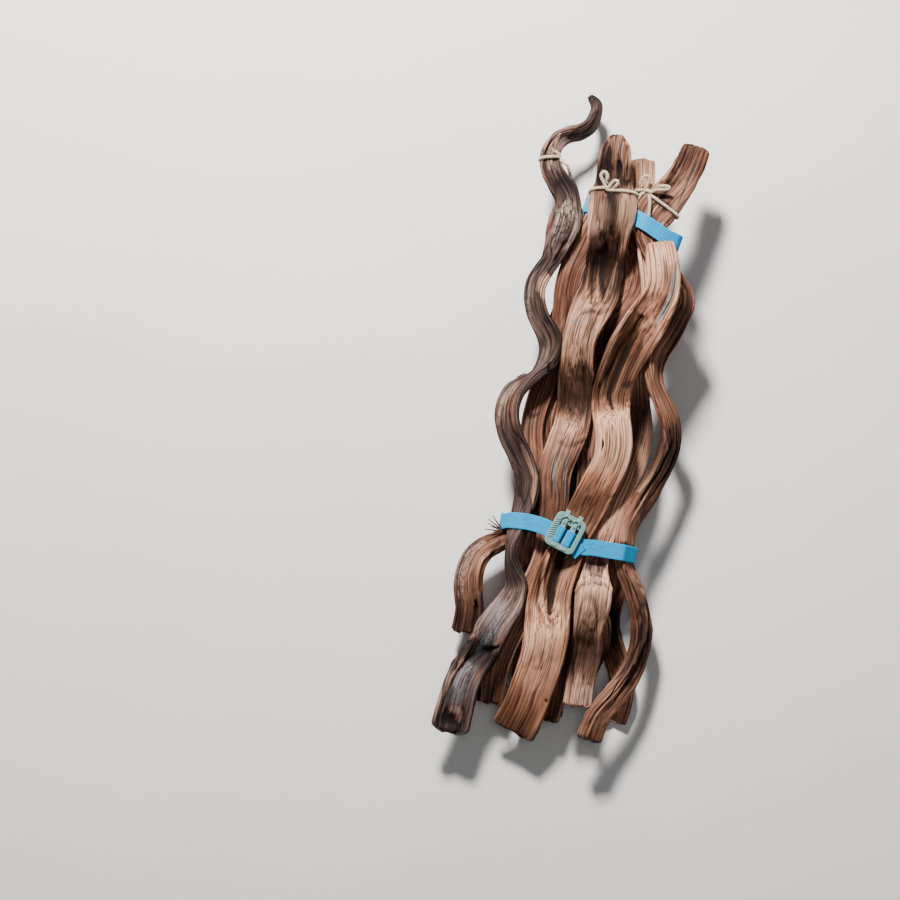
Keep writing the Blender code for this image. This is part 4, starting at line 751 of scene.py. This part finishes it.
class Shading:
    """A material under construction, with short ways to add its nodes."""

    def __init__(self, name):
        self.material = bpy.data.materials.new(name)
        self.material.use_nodes = True
        self.tree = self.material.node_tree
        self.surface = self.tree.nodes["Principled BSDF"]

    def node(self, kind, inputs, **settings):
        """A new node with its inputs, by name or number, and its settings."""
        node = self.tree.nodes.new("ShaderNode" + kind)
        for name, value in settings.items():
            setattr(node, name, value)
        for key, value in inputs.items():
            self.link(value, node.inputs[key])
        return node

    def link(self, value, socket):
        """Feeds a socket with another socket or with a constant."""
        if isinstance(value, bpy.types.NodeSocket):
            self.tree.links.new(value, socket)
        elif isinstance(value, tuple) and len(value) == 3 and socket.type == "RGBA":
            socket.default_value = (*value, 1.0)
        else:
            socket.default_value = value

    def stored(self, name, output="Fac"):
        """What the mesh stores for each point by this name."""
        return self.node("Attribute", {}, attribute_name=name).outputs[output]

    def scaled(self, vector, scale):
        return self.node("VectorMath", {0: vector, 1: scale}, operation="MULTIPLY").outputs[0]

    def noise(self, vector, scale, detail=4.0, roughness=0.6, output="Fac"):
        """A noise of 0 to 1 with its own scale along each axis: one value, or three as a colour."""
        place = self.scaled(vector, scale)
        inputs = {"Vector": place, "Scale": 1.0, "Detail": detail, "Roughness": roughness}
        return self.node("TexNoise", inputs).outputs[output]

    def bent(self, vector, scale, reach):
        """A vector moved about by noise, so far along each axis."""
        inputs = {0: self.noise(vector, scale, output="Color"), 1: reach, 2: vector}
        return self.node("VectorMath", inputs, operation="MULTIPLY_ADD").outputs[0]

    def saturated(self, colour, saturation, value):
        """A colour with its strength and its brightness scaled."""
        inputs = {"Color": colour, "Saturation": saturation, "Value": value}
        return self.node("HueSaturation", inputs).outputs["Color"]

    def cells(self, vector, scale):
        """The distance to the nearest edge of random cells."""
        inputs = {"Vector": self.scaled(vector, scale), "Scale": 1.0}
        return self.node("TexVoronoi", inputs, feature="DISTANCE_TO_EDGE").outputs["Distance"]

    def math(self, operation, *values):
        return self.node("Math", dict(enumerate(values)), operation=operation).outputs[0]

    def spread(self, value, low, high, to_low=0.0, to_high=1.0):
        """Maps low to high onto another span, and holds outside."""
        inputs = dict(enumerate((value, low, high, to_low, to_high)))
        return self.node("MapRange", inputs, interpolation_type="SMOOTHSTEP").outputs[0]

    def ramp(self, value, stops):
        """Colours along a value."""
        node = self.node("ValToRGB", {"Fac": value})
        points = node.color_ramp.elements
        while len(points) < len(stops):
            points.new(0.5)
        for point, (place, colour) in zip(points, stops):
            point.position = place
            point.color = (*colour, 1.0)
        return node.outputs["Color"]

    def mix(self, share, first, second, blend="MIX"):
        inputs = {"Factor": share, 6: first, 7: second}
        return self.node("Mix", inputs, data_type="RGBA", blend_type=blend).outputs[2]

    def bump(self, height, strength, distance):
        node = self.node("Bump", {"Strength": strength, "Distance": distance * MM, "Height": height})
        self.link(node.outputs["Normal"], self.surface.inputs["Normal"])

    def finish(self, colour, roughness):
        self.link(colour, self.surface.inputs["Base Color"])
        self.link(roughness, self.surface.inputs["Roughness"])
        return self.material


def bark_colour(s, flow, tone, look):
    """Brown, grey and reddish bark, painted lighter on crests and raised relief and darker in troughs and
    hollows.
    """
    streaks = s.noise(flow, (0.30, 0.30, 0.006), 5.0, 0.65)
    patches = s.noise(flow, (0.05, 0.05, 0.016), 3.0, 0.55)
    lightness = s.math("MULTIPLY_ADD", s.math("SUBTRACT", streaks, 0.5), 0.75, look.light)
    lightness = s.math("MULTIPLY_ADD", s.math("SUBTRACT", patches, 0.5), 0.7, lightness)
    # Painted light and shade: lighter on raised relief and on crests, darker below them
    lightness = s.math("MULTIPLY_ADD", tone["relief"], 0.14, lightness)
    lightness = s.math("MULTIPLY_ADD", tone["crest"], 0.16, lightness)
    stains = s.math("ADD", s.noise(flow, (0.12, 0.12, 0.014), 4.0, 0.6), (look.grey - 0.5) * 0.4)
    warmth = s.math("MULTIPLY", s.spread(s.math("ADD", patches, (look.warm - 0.5) * 0.5), 0.40, 0.64), 0.85)
    colour = s.mix(s.spread(stains, 0.46, 0.64, 0.0, 0.8), s.ramp(lightness, BROWN), s.ramp(lightness, GREY))
    return s.mix(s.math("MAXIMUM", warmth, tone["warm"]), colour, s.ramp(lightness, WARM))


def crust_colour(s, flow, specks):
    """Dry outer bark, cracked into small plates."""
    plates = s.cells(s.bent(flow, (0.25, 0.25, 0.14), (6.0, 6.0, 10.0)), (0.22, 0.22, 0.11))
    return s.mix(s.spread(plates, 0.02, 0.16), CRUST_CRACK, s.ramp(specks, CRUST_PLATES))


def bark_material(name, look):
    """Dry fibrous bark with its marks: stains, cracked crust, cut ends, painted light on crests and shade in
    hollows.
    """
    s = Shading(name)
    flow = s.stored("flow", "Vector")
    tone = {key: s.stored(key) for key in ("relief", "crest", "cut", *TONES)}
    grain = s.noise(flow, (0.75, 0.75, 0.006), 2.0, 0.55)
    fine = s.noise(flow, (1.1, 1.1, 0.012), 3.0, 0.7)
    specks = s.noise(flow, (0.9, 0.9, 0.5), 3.0, 0.7)
    colour = bark_colour(s, flow, tone, look)
    colour = s.mix(tone["grey"], colour, s.ramp(fine, BLUE_GREY))
    # Pale wood, and painted highlights on rims, ridges and bright faces
    colour = s.mix(s.math("MULTIPLY", tone["pale"], s.spread(grain, 0.35, 0.55, 0.5, 1.0)), colour, PALE_WOOD_AND_HIGHLIGHT)
    colour = s.mix(tone["crust"], colour, crust_colour(s, flow, specks))
    colour = s.mix(s.spread(specks, 0.68, 0.76, 0.0, 0.3), colour, DUST)
    # Each of these darkens the colour where it is low: its span, and the brightness at both ends of it. The
    # first two are the grain, the last two are painted shade in low relief and in troughs between crests
    shades = (
        (grain, 0.40, 0.51, 0.36, 1.08),
        (fine, 0.38, 0.58, 0.62, 1.06),
        (tone["relief"], -0.6, -0.05, 0.30, 1.0),
        (tone["crest"], -0.8, 0.4, 0.28, 1.06),
    )
    for shade in shades:
        colour = s.mix(1.0, colour, s.spread(*shade), "MULTIPLY")
    # Dark stains, and painted shade in hollows, grooves, splits and beside other pieces
    colour = s.mix(tone["dark"], colour, STAIN_AND_SHADE)
    colour = s.mix(tone["cut"], colour, s.ramp(s.noise(flow, (0.9, 0.9, 0.0), 5.0, 0.7), CUT_WOOD))
    s.bump(s.math("MULTIPLY_ADD", grain, 1.2, s.math("MULTIPLY", fine, 0.6)), 0.85, 0.8)
    s.surface.inputs["Specular IOR Level"].default_value = 0.14
    return s.finish(s.saturated(colour, 1.14, 1.02), s.spread(grain, 0.3, 0.7, 0.85, 0.68))


def by_length(values, spacing):
    """Rows at about even distances on smooth curves through unevenly spaced ones, and their distances."""
    steps = np.linalg.norm(np.diff(values[:, 0], axis=0), axis=1)
    places = np.concatenate([[0.0], np.cumsum(steps)])
    slopes = np.gradient(values, places, axis=0)
    wanted = np.unique(np.concatenate([np.linspace(a, b, max(2, int((b - a) / spacing) + 2))
                                       for a, b in zip(places[:-1], places[1:])]))
    i = np.clip(np.searchsorted(places, wanted, side="right") - 1, 0, len(steps) - 1)
    t = ((wanted - places[i]) / steps[i])[:, None, None]
    reach = steps[i][:, None, None]
    rows = ((2 * t ** 3 - 3 * t ** 2 + 1) * values[i] + (t ** 3 - 2 * t ** 2 + t) * reach * slopes[i]
            + (3 * t ** 2 - 2 * t ** 3) * values[i + 1] + (t ** 3 - t ** 2) * reach * slopes[i + 1])
    return rows, wanted


def tube_faces(rows, count):
    """The faces of a tube with flat ends, whose end middles come last."""
    faces = grid_faces(rows, count).tolist()
    last = rows * count
    faces += [[last, i, (i + 1) % count] for i in range(count)]
    faces += [[last + 1, last - count + (i + 1) % count, last - count + i] for i in range(count)]
    return faces


def is_band_ring(vertices):
    """Whether four vertices make a rectangle of the band's width and thickness."""
    corners = [np.array(vertex.co) / MM for vertex in vertices]
    spans = sorted(np.linalg.norm(a - b) for a, b in combinations(corners, 2))
    diagonal = math.hypot(BAND_WIDTH, BAND_THICK)
    wanted = (BAND_THICK, BAND_THICK, BAND_WIDTH, BAND_WIDTH, diagonal, diagonal)
    return max(abs(span - want) for span, want in zip(spans, wanted)) < 0.05


def band_rings(node):
    """The four corners of a band at each of its rings, from one end to the other."""
    mesh, centre = welded(node)
    seen = {centre}
    ring = [edge.other_vert(centre) for edge in centre.link_edges]
    rings = []
    while ring:
        seen.update(ring)
        rings.append(np.array([vertex.co for vertex in ring]) / MM)
        middle = Vector(rings[-1].mean(axis=0)) * MM
        near = neighbours(ring) - seen
        near |= neighbours(near) - seen
        nearest = sorted(near, key=lambda vertex: (vertex.co - middle).length)
        options = [(sum((vertex.co for vertex in four), Vector()) / 4 - middle, four)
                   for four in combinations(nearest, 4) if is_band_ring(four)]
        ring = min(options, key=lambda option: option[0].length, default=(None, None))[1]
    mesh.free()
    return rings


def band_path(node):
    """The middle line of a band, with its width and thickness directions at each ring."""
    rings = band_rings(node)
    middles = np.array([ring.mean(axis=0) for ring in rings])
    tangents = unit(np.gradient(middles, axis=0))
    wides, thicks = [], []
    for ring, tangent in zip(rings, tangents):
        partner = 1 + int(np.argmin(np.linalg.norm(ring[1:] - ring[0], axis=1)))
        others = [i for i in (1, 2, 3) if i != partner]
        wide = unit(ring[[0, partner]].mean(axis=0) - ring[others].mean(axis=0))
        wide = -wide if wides and wide @ wides[-1] < 0 else wide
        wides.append(wide)
        thicks.append(unit(np.cross(tangent, wide)))
    return middles, np.array(wides), np.array(thicks)


def loose_end():
    """The corner of strap that comes out under the lower buckle: its points, faces and flow."""
    way, across = unit(np.array(TAIL_WAY)), unit(np.array(TAIL_ACROSS))
    up = unit(np.cross(across, way))
    corners, flow = [], []
    for back in (0.0, TAIL_LENGTH):
        for side in (-TAIL_WIDTH / 2, TAIL_WIDTH / 2):
            for rise in (0.0, BAND_THICK):
                corners.append(np.array(TAIL_END) - way * back + across * side + up * rise)
                flow.append((side, rise, back))
    faces = [(0, 1, 3, 2), (4, 6, 7, 5), (0, 4, 5, 1), (2, 3, 7, 6), (0, 2, 6, 4), (1, 5, 7, 3)]
    return corners, faces, flow


def band_section():
    """The outline of a band's section, across and out, with rounded edges."""
    half, edge = BAND_WIDTH / 2, BAND_THICK / 2
    top = [(x, edge) for x in np.linspace(-half + edge, half - edge, 12)]
    top += [(half - edge + edge * math.sin(angle), edge * math.cos(angle)) for angle in (0.6, 1.57, 2.54)]
    return np.array(top + [(-x, -y) for x, y in top])


def dress_band(name):
    """A woven band: a thin rounded section swept along its loop."""
    middles, wides, thicks = band_path(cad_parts[name])
    rows, along = by_length(np.stack([middles, middles + wides, middles + thicks], axis=1), BAND_STEP)
    middle, wide, thick = rows[:, 0], unit(rows[:, 1] - rows[:, 0]), unit(rows[:, 2] - rows[:, 0])
    section = band_section()
    rng = np.random.default_rng(5)
    wander = resample(rng.normal(0.0, 0.10, (len(middle) // 25 + 4, 1)), len(middle))
    flow_x = section[:, 0] + np.zeros((len(middle), 1))
    points = (middle[:, None] + wide[:, None] * (section[None, :, :1] + wander[:, None] * 0.6)
              + thick[:, None] * section[None, :, 1:])
    inward = (facing(points) * (points - points.mean(axis=1, keepdims=True))).sum(axis=-1).mean() < 0
    if inward:
        points, flow_x = points[:, ::-1], flow_x[:, ::-1]
    flow = np.stack([flow_x, np.zeros_like(flow_x), np.broadcast_to(along[:, None], flow_x.shape)], axis=-1)
    flow = np.vstack([flow.reshape(-1, 3), flow[0, 0], flow[-1, 0]])
    faces = tube_faces(*points.shape[:2])
    points = np.vstack([points.reshape(-1, 3), points[0].mean(axis=0), points[-1].mean(axis=0)])
    if name == "band_lower":
        corners, tail_faces, tail_flow = loose_end()
        points, faces = joined([(points, faces), (corners, tail_faces)])
        flow = np.vstack([flow, tail_flow])
    body = mesh_object(name + "_woven", points, faces, WEAVE)
    add_values(body, "flow", "FLOAT_VECTOR", flow)
    body.data.set_sharp_from_angle(angle=math.radians(50))
    return dressed(body, name)


def buckle_place(node):
    """Where a buckle lies: the middle of its base, and its axes along the band, up the bundle and out."""
    mesh = node.data
    normals = np.array([polygon.normal for polygon in mesh.polygons])
    areas = np.array([polygon.area for polygon in mesh.polygons]) / MM ** 2
    middles = np.array([polygon.center for polygon in mesh.polygons]) / MM
    points = np.array([vertex.co for vertex in mesh.vertices]) / MM

    def main_way(allowed):
        """The direction that most area faces, forwards or backwards."""
        ways, sizes = normals[allowed], areas[allowed]
        shares = [(sizes * (abs(ways @ way) > 0.9995)).sum() for way in ways]
        return ways[int(np.argmax(shares))]

    out = main_way(np.ones(len(normals), bool))
    bundle = np.array([0.0, points[:, 1].mean(), 50.0])
    out = out if out @ (points.mean(axis=0) - bundle) > 0 else -out
    first = main_way(abs(normals @ out) < 0.02)
    second = np.cross(out, first)
    longer = max((first, second), key=lambda way: np.ptp(points @ way))

    def end_area(way):
        """The area of the face at the far end along a direction."""
        level = (points @ way).max()
        return areas[(normals @ way > 0.99) & (middles @ way > level - 0.2)].sum()

    up = longer if end_area(longer) < end_area(-longer) else -longer
    side = np.cross(up, out)
    spans = [(points @ way).min() for way in (up, out)]
    x = (points @ side).min() + BUCKLE_LENGTH / 2
    return side * x + up * (spans[0] + BUCKLE_WIDTH / 2) + out * spans[1], np.array([side, up, out])


def arc(centre, radius, first, last, steps):
    """Points along an arc between two angles in degrees."""
    angles = [math.radians(first + (last - first) * step / steps) for step in range(steps + 1)]
    return [(centre[0] + radius * math.cos(angle), centre[1] + radius * math.sin(angle)) for angle in angles]


def rounded_plate(low, high, corner):
    """The outline of a plate, anticlockwise, with round corners."""
    left, foot = low[0] + corner, low[1] + corner
    right, top = high[0] - corner, high[1] - corner
    outline = []
    for turn, middle in enumerate(((right, top), (left, top), (left, foot), (right, foot))):
        outline += arc(middle, corner, 90.0 * turn, 90.0 * turn + 90.0, 6)
    return outline


def add_prism(mesh, outline, low, high):
    """A solid between two heights with this outline."""
    bottom = [mesh.verts.new((x, y, low)) for x, y in outline]
    top = [mesh.verts.new((x, y, high)) for x, y in outline]
    mesh.faces.new(bottom[::-1])
    mesh.faces.new(top)
    count = len(outline)
    for i in range(count):
        mesh.faces.new((bottom[i], bottom[(i + 1) % count], top[(i + 1) % count], top[i]))


def add_ring(mesh, outer, inner, low, high):
    """A solid frame between two outlines with the same number of points."""
    count = len(outer)
    loops = [[mesh.verts.new((x, y, z)) for x, y in outline] for outline, z in
             ((outer, low), (outer, high), (inner, high), (inner, low))]
    for first, second in zip(loops, loops[1:] + loops[:1]):
        for i in range(count):
            mesh.faces.new((first[i], first[(i + 1) % count], second[(i + 1) % count], second[i]))


def box(mesh, centre, size, turn=0.0):
    """A box by its middle and sizes, turned in the plane of the buckle."""
    outline = []
    for x, y in SQUARE:
        px, py = x * size[0] / 2, y * size[1] / 2
        outline.append((centre[0] + px * math.cos(turn) - py * math.sin(turn),
                        centre[1] + px * math.sin(turn) + py * math.cos(turn)))
    add_prism(mesh, outline, centre[2] - size[2] / 2, centre[2] + size[2] / 2)


def arch(mesh, x):
    """A raised half ring over a bar, open towards the foot."""
    outer = arc((x, WEB_Y), WEB_RADIUS + WEB_WIDTH / 2, 0.0, 180.0, 8)
    inner = arc((x, WEB_Y), WEB_RADIUS - WEB_WIDTH / 2, 180.0, 0.0, 8)
    add_prism(mesh, outer + inner, WEB_LOW, WEB_HIGH)


def buckle_mesh():
    """A buckle in its own frame: frame, bars with arched webs, ribs on one side, prongs on one edge."""
    half_l, half_w = BUCKLE_LENGTH / 2, BUCKLE_WIDTH / 2
    mesh = bmesh.new()
    outer = rounded_plate((-half_l, -half_w), (half_l, half_w), FRAME_CORNER)
    window = ((FRAME_LEFT - half_l, FRAME_FOOT - half_w), (half_l - FRAME_RIGHT, half_w - FRAME_TOP))
    add_ring(mesh, outer, rounded_plate(*window, WINDOW_CORNER), 0.0, BUCKLE_THICK)
    box(mesh, *PLATE)
    for side in (-1, 1):
        arch(mesh, side * BAR_X)
        for (x, y, z), size in SIDE_BOXES.values():
            box(mesh, (side * x, y, z), size)
    (x, y, z), size = FIRST_RIB
    for step in range(RIB_COUNT):
        box(mesh, (x, y + RIB_STEP * step, z), size, RIB_TURN)
    bmesh.ops.recalc_face_normals(mesh, faces=mesh.faces)
    edges = [edge for edge in mesh.edges if edge.is_manifold and edge.calc_face_angle(0.0) > 0.6]
    bmesh.ops.bevel(mesh, geom=edges, offset=EDGE_ROUNDING, segments=3, profile=0.5, affect="EDGES",
                    clamp_overlap=True)
    bmesh.ops.triangulate(mesh, faces=[face for face in mesh.faces if len(face.verts) > 4])
    mesh.verts.ensure_lookup_table()
    mesh.normal_update()
    return mesh


def dress_buckle(name):
    """A moulded buckle, worn at its edges, in place of its CAD node."""
    seat, axes = buckle_place(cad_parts[name])
    mesh = buckle_mesh()
    worn = [1.0 - min((face.normal.dot(vertex.normal) for face in vertex.link_faces), default=1.0)
            for vertex in mesh.verts]
    local = np.array([vertex.co for vertex in mesh.verts])
    faces = [[vertex.index for vertex in face.verts] for face in mesh.faces]
    mesh.free()
    body = mesh_object(name + "_moulded", seat + local @ axes, faces, PLASTIC)
    body.data.set_sharp_from_angle(angle=math.radians(40))
    add_values(body, "flow", "FLOAT_VECTOR", local)
    add_values(body, "worn", "FLOAT", np.clip(np.array(worn) * 16.0, 0.0, 1.0))
    return dressed(body, name)


def carried_frame(path):
    """Two directions square to a path, carried along it without twist."""
    tangent = unit(np.gradient(path, axis=0))
    first = unit(np.cross(tangent[0], (0.3, 0.2, 1.0)))
    sides = [first]
    for way in tangent[1:]:
        side = sides[-1] - way * (sides[-1] @ way)
        sides.append(side / np.linalg.norm(side))
    sides = np.array(sides)
    return tangent, sides, np.cross(tangent, sides)


def sweep(path, sides, ups, radii, count=7):
    """The points and faces of a round tube with a radius for each row."""
    angles = np.arange(count) * 2 * math.pi / count
    points = path[:, None] + radii[:, None, None] * (np.cos(angles)[None, :, None] * sides[:, None]
                                                      - np.sin(angles)[None, :, None] * ups[:, None])
    everything = np.vstack([points.reshape(-1, 3), path[0], path[-1]])
    return everything, tube_faces(len(path), count)


def fibre(line, root, tip, count):
    """The points and faces of a thin tube along a line, with its radius at both ends."""
    return sweep(line, *carried_frame(line)[1:], np.linspace(root, tip, len(line)), count)


def loose_fibres(path, tangent, sides, ups, rng):
    """Short hairs all along a twine, and a brush of thicker ones at both of its ends."""
    parts = []
    steps = np.linspace(0.0, 1.0, 4)[:, None]
    for _ in range(FUZZ):
        i = rng.integers(2, len(path) - 2)
        way = unit(sides[i] * rng.normal() + ups[i] * rng.normal() + tangent[i] * rng.normal(0.0, 1.6))
        curl = unit(rng.normal(size=3)) * 0.5
        hair = path[i] + way * steps * rng.uniform(1.6, 4.6) + curl * steps ** 2
        parts.append(fibre(hair, 0.13, 0.06, 3))
    steps = np.linspace(0.0, 1.0, 5)[:, None]
    for end, way in ((0, -tangent[0]), (-1, tangent[-1])):
        for _ in range(FRAY):
            spread = unit(way + rng.normal(0.0, 0.42, 3))
            base = path[end] + (sides[end] * rng.normal() + ups[end] * rng.normal()) * 0.4 - way * 1.0
            hair = base + (way * (1 - steps) + spread * steps) * steps * rng.uniform(3.0, 6.5)
            parts.append(fibre(hair, 0.28, 0.10, 4))
    return parts


def dress_twine(name):
    """Jute twine: three twisted plies with loose fibres, frayed at its ends."""
    middles = np.array([layer.mean(axis=0) for layer in layers_of(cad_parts[name])])
    middles[1:-1] = (middles[:-2] + 2 * middles[1:-1] + middles[2:]) / 4
    path = by_length(middles[:, None], TWINE_STEP)[0][:, 0]
    tangent, sides, ups = carried_frame(path)
    rng = np.random.default_rng(len(path))
    length = np.arange(len(path)) * TWINE_STEP
    parts = []
    for ply in range(3):
        angle = 2 * math.pi * (ply / 3 + length / TWINE_LAY)
        offset = sides * np.cos(angle)[:, None] + ups * np.sin(angle)[:, None]
        uneven = resample(rng.normal(0.0, 1.0, (len(path) // 6 + 4, 1)), len(path))[:, 0]
        parts.append(sweep(path + offset * PLY * 0.9, sides, ups, PLY * (1.0 + 0.10 * uneven)))
    parts += loose_fibres(path, tangent, sides, ups, rng)
    body = mesh_object(name + "_twisted", *joined(parts), JUTE)
    return dressed(body, name)


def weave_material():
    """Blue woven plastic band with a fine slanted weave."""
    s = Shading("band_weave")
    flow = s.stored("flow", "Vector")
    separate = s.node("SeparateXYZ", {0: flow})
    across, along = separate.outputs["X"], separate.outputs["Z"]
    slant = s.math("SINE", s.math("MULTIPLY", s.math("ADD", s.math("MULTIPLY", across, 0.8), along), 2.7))
    threads = s.math("SINE", s.math("MULTIPLY", across, 5.0))
    height = s.math("MULTIPLY_ADD", slant, 0.75, s.math("MULTIPLY", threads, 0.25))
    worn = s.noise(flow, (0.5, 0.5, 0.12), 4.0, 0.6)
    # Painted shade in the low places of the weave
    colour = s.mix(s.spread(height, -0.9, 0.5, 0.75, 0.0), s.ramp(worn, BLUE), BLUE_GAP_SHADE)
    colour = s.mix(s.spread(s.math("ABSOLUTE", across), 7.2, 7.9, 0.0, 0.4), colour, BLUE_EDGE)
    s.bump(height, 0.5, 0.25)
    s.surface.inputs["Specular IOR Level"].default_value = 0.1
    return s.finish(colour, 0.6)


def plastic_material():
    """Grey-green moulded plastic with light worn edges and scratches."""
    s = Shading("buckle_plastic")
    flow = s.stored("flow", "Vector")
    cloud = s.noise(flow, (0.25, 0.25, 0.25), 4.0, 0.6)
    scratch = s.spread(s.noise(flow, (1.6, 0.35, 1.0), 5.0, 0.7), 0.56, 0.70, 0.0, 0.5)
    colour = s.mix(scratch, s.ramp(cloud, GREEN), GREEN_SCRATCH)
    colour = s.mix(s.math("MULTIPLY", s.stored("worn"), 0.75), colour, GREEN_EDGE)
    s.bump(cloud, 0.15, 0.3)
    return s.finish(colour, s.spread(cloud, 0.3, 0.7, 0.34, 0.5))


def jute_material():
    """Pale dry jute."""
    s = Shading("jute")
    place = s.node("TexCoord", {}).outputs["Object"]
    tint = s.noise(place, (900.0, 900.0, 900.0), 3.0, 0.6)
    s.bump(tint, 0.4, 0.3)
    return s.finish(s.ramp(tint, JUTE_TINTS), 0.85)


def camera():
    """The camera, level at the sides and looking down on the bundle."""
    data = bpy.data.cameras.new("camera")
    data.lens = CAMERA_LENS
    body = bpy.data.objects.new("camera", data)
    angle = math.radians(CAMERA_HEIGHT_ANGLE)
    back = Vector((0.0, -math.cos(angle), math.sin(angle)))
    body.location = Vector(CAMERA_TARGET) + back * CAMERA_DISTANCE
    body.rotation_euler = (math.pi / 2 - angle, 0.0, 0.0)
    bpy.context.scene.collection.objects.link(body)
    bpy.context.scene.camera = body


def lamp(name, place, size, power, colour):
    """A soft square lamp that faces the bundle."""
    data = bpy.data.lights.new(name, "AREA")
    data.size = size
    data.energy = power
    data.color = colour
    body = bpy.data.objects.new(name, data)
    body.location = place
    body.rotation_euler = (Vector(LAMP_TARGET) - Vector(place)).to_track_quat("-Z", "Y").to_euler()
    bpy.context.scene.collection.objects.link(body)


def studio():
    """A pale floor and soft light from above the tips."""
    s = Shading("floor")
    place = s.node("TexCoord", {}).outputs["Object"]
    s.finish(s.ramp(s.noise(place, (3.0, 3.0, 3.0), 3.0), FLOOR_TINTS), 0.9)
    corners = [(x * FLOOR_REACH, y * FLOOR_REACH, 0) for x, y in SQUARE]
    floor = mesh_object("floor", corners, [(0, 1, 2, 3)], s.material)
    for name, settings in LAMPS.items():
        lamp(name, *settings)
    world = bpy.data.worlds.new("sky")
    world.use_nodes = True
    sky = world.node_tree.nodes["Background"]
    sky.inputs["Color"].default_value = SKY_COLOUR
    sky.inputs["Strength"].default_value = SKY_STRENGTH
    bpy.context.scene.world = world


BARKS = {name: bark_material(name + "_bark", look) for name, look in LOOKS.items()}
for name in FRONT_STEMS:
    dress_stem(name, FRONT_DETAIL)
for name in BACK_STEMS:
    dress_stem(name, BACK_DETAIL)
WEAVE, PLASTIC, JUTE = weave_material(), plastic_material(), jute_material()
for name in ("band_lower", "band_upper"):
    dress_band(name)
for name in ("buckle_lower", "buckle_upper"):
    dress_buckle(name)
for name in ("twine_curl", "twine_hook", "twine_middle", "twine_right"):
    dress_twine(name)
studio()
camera()
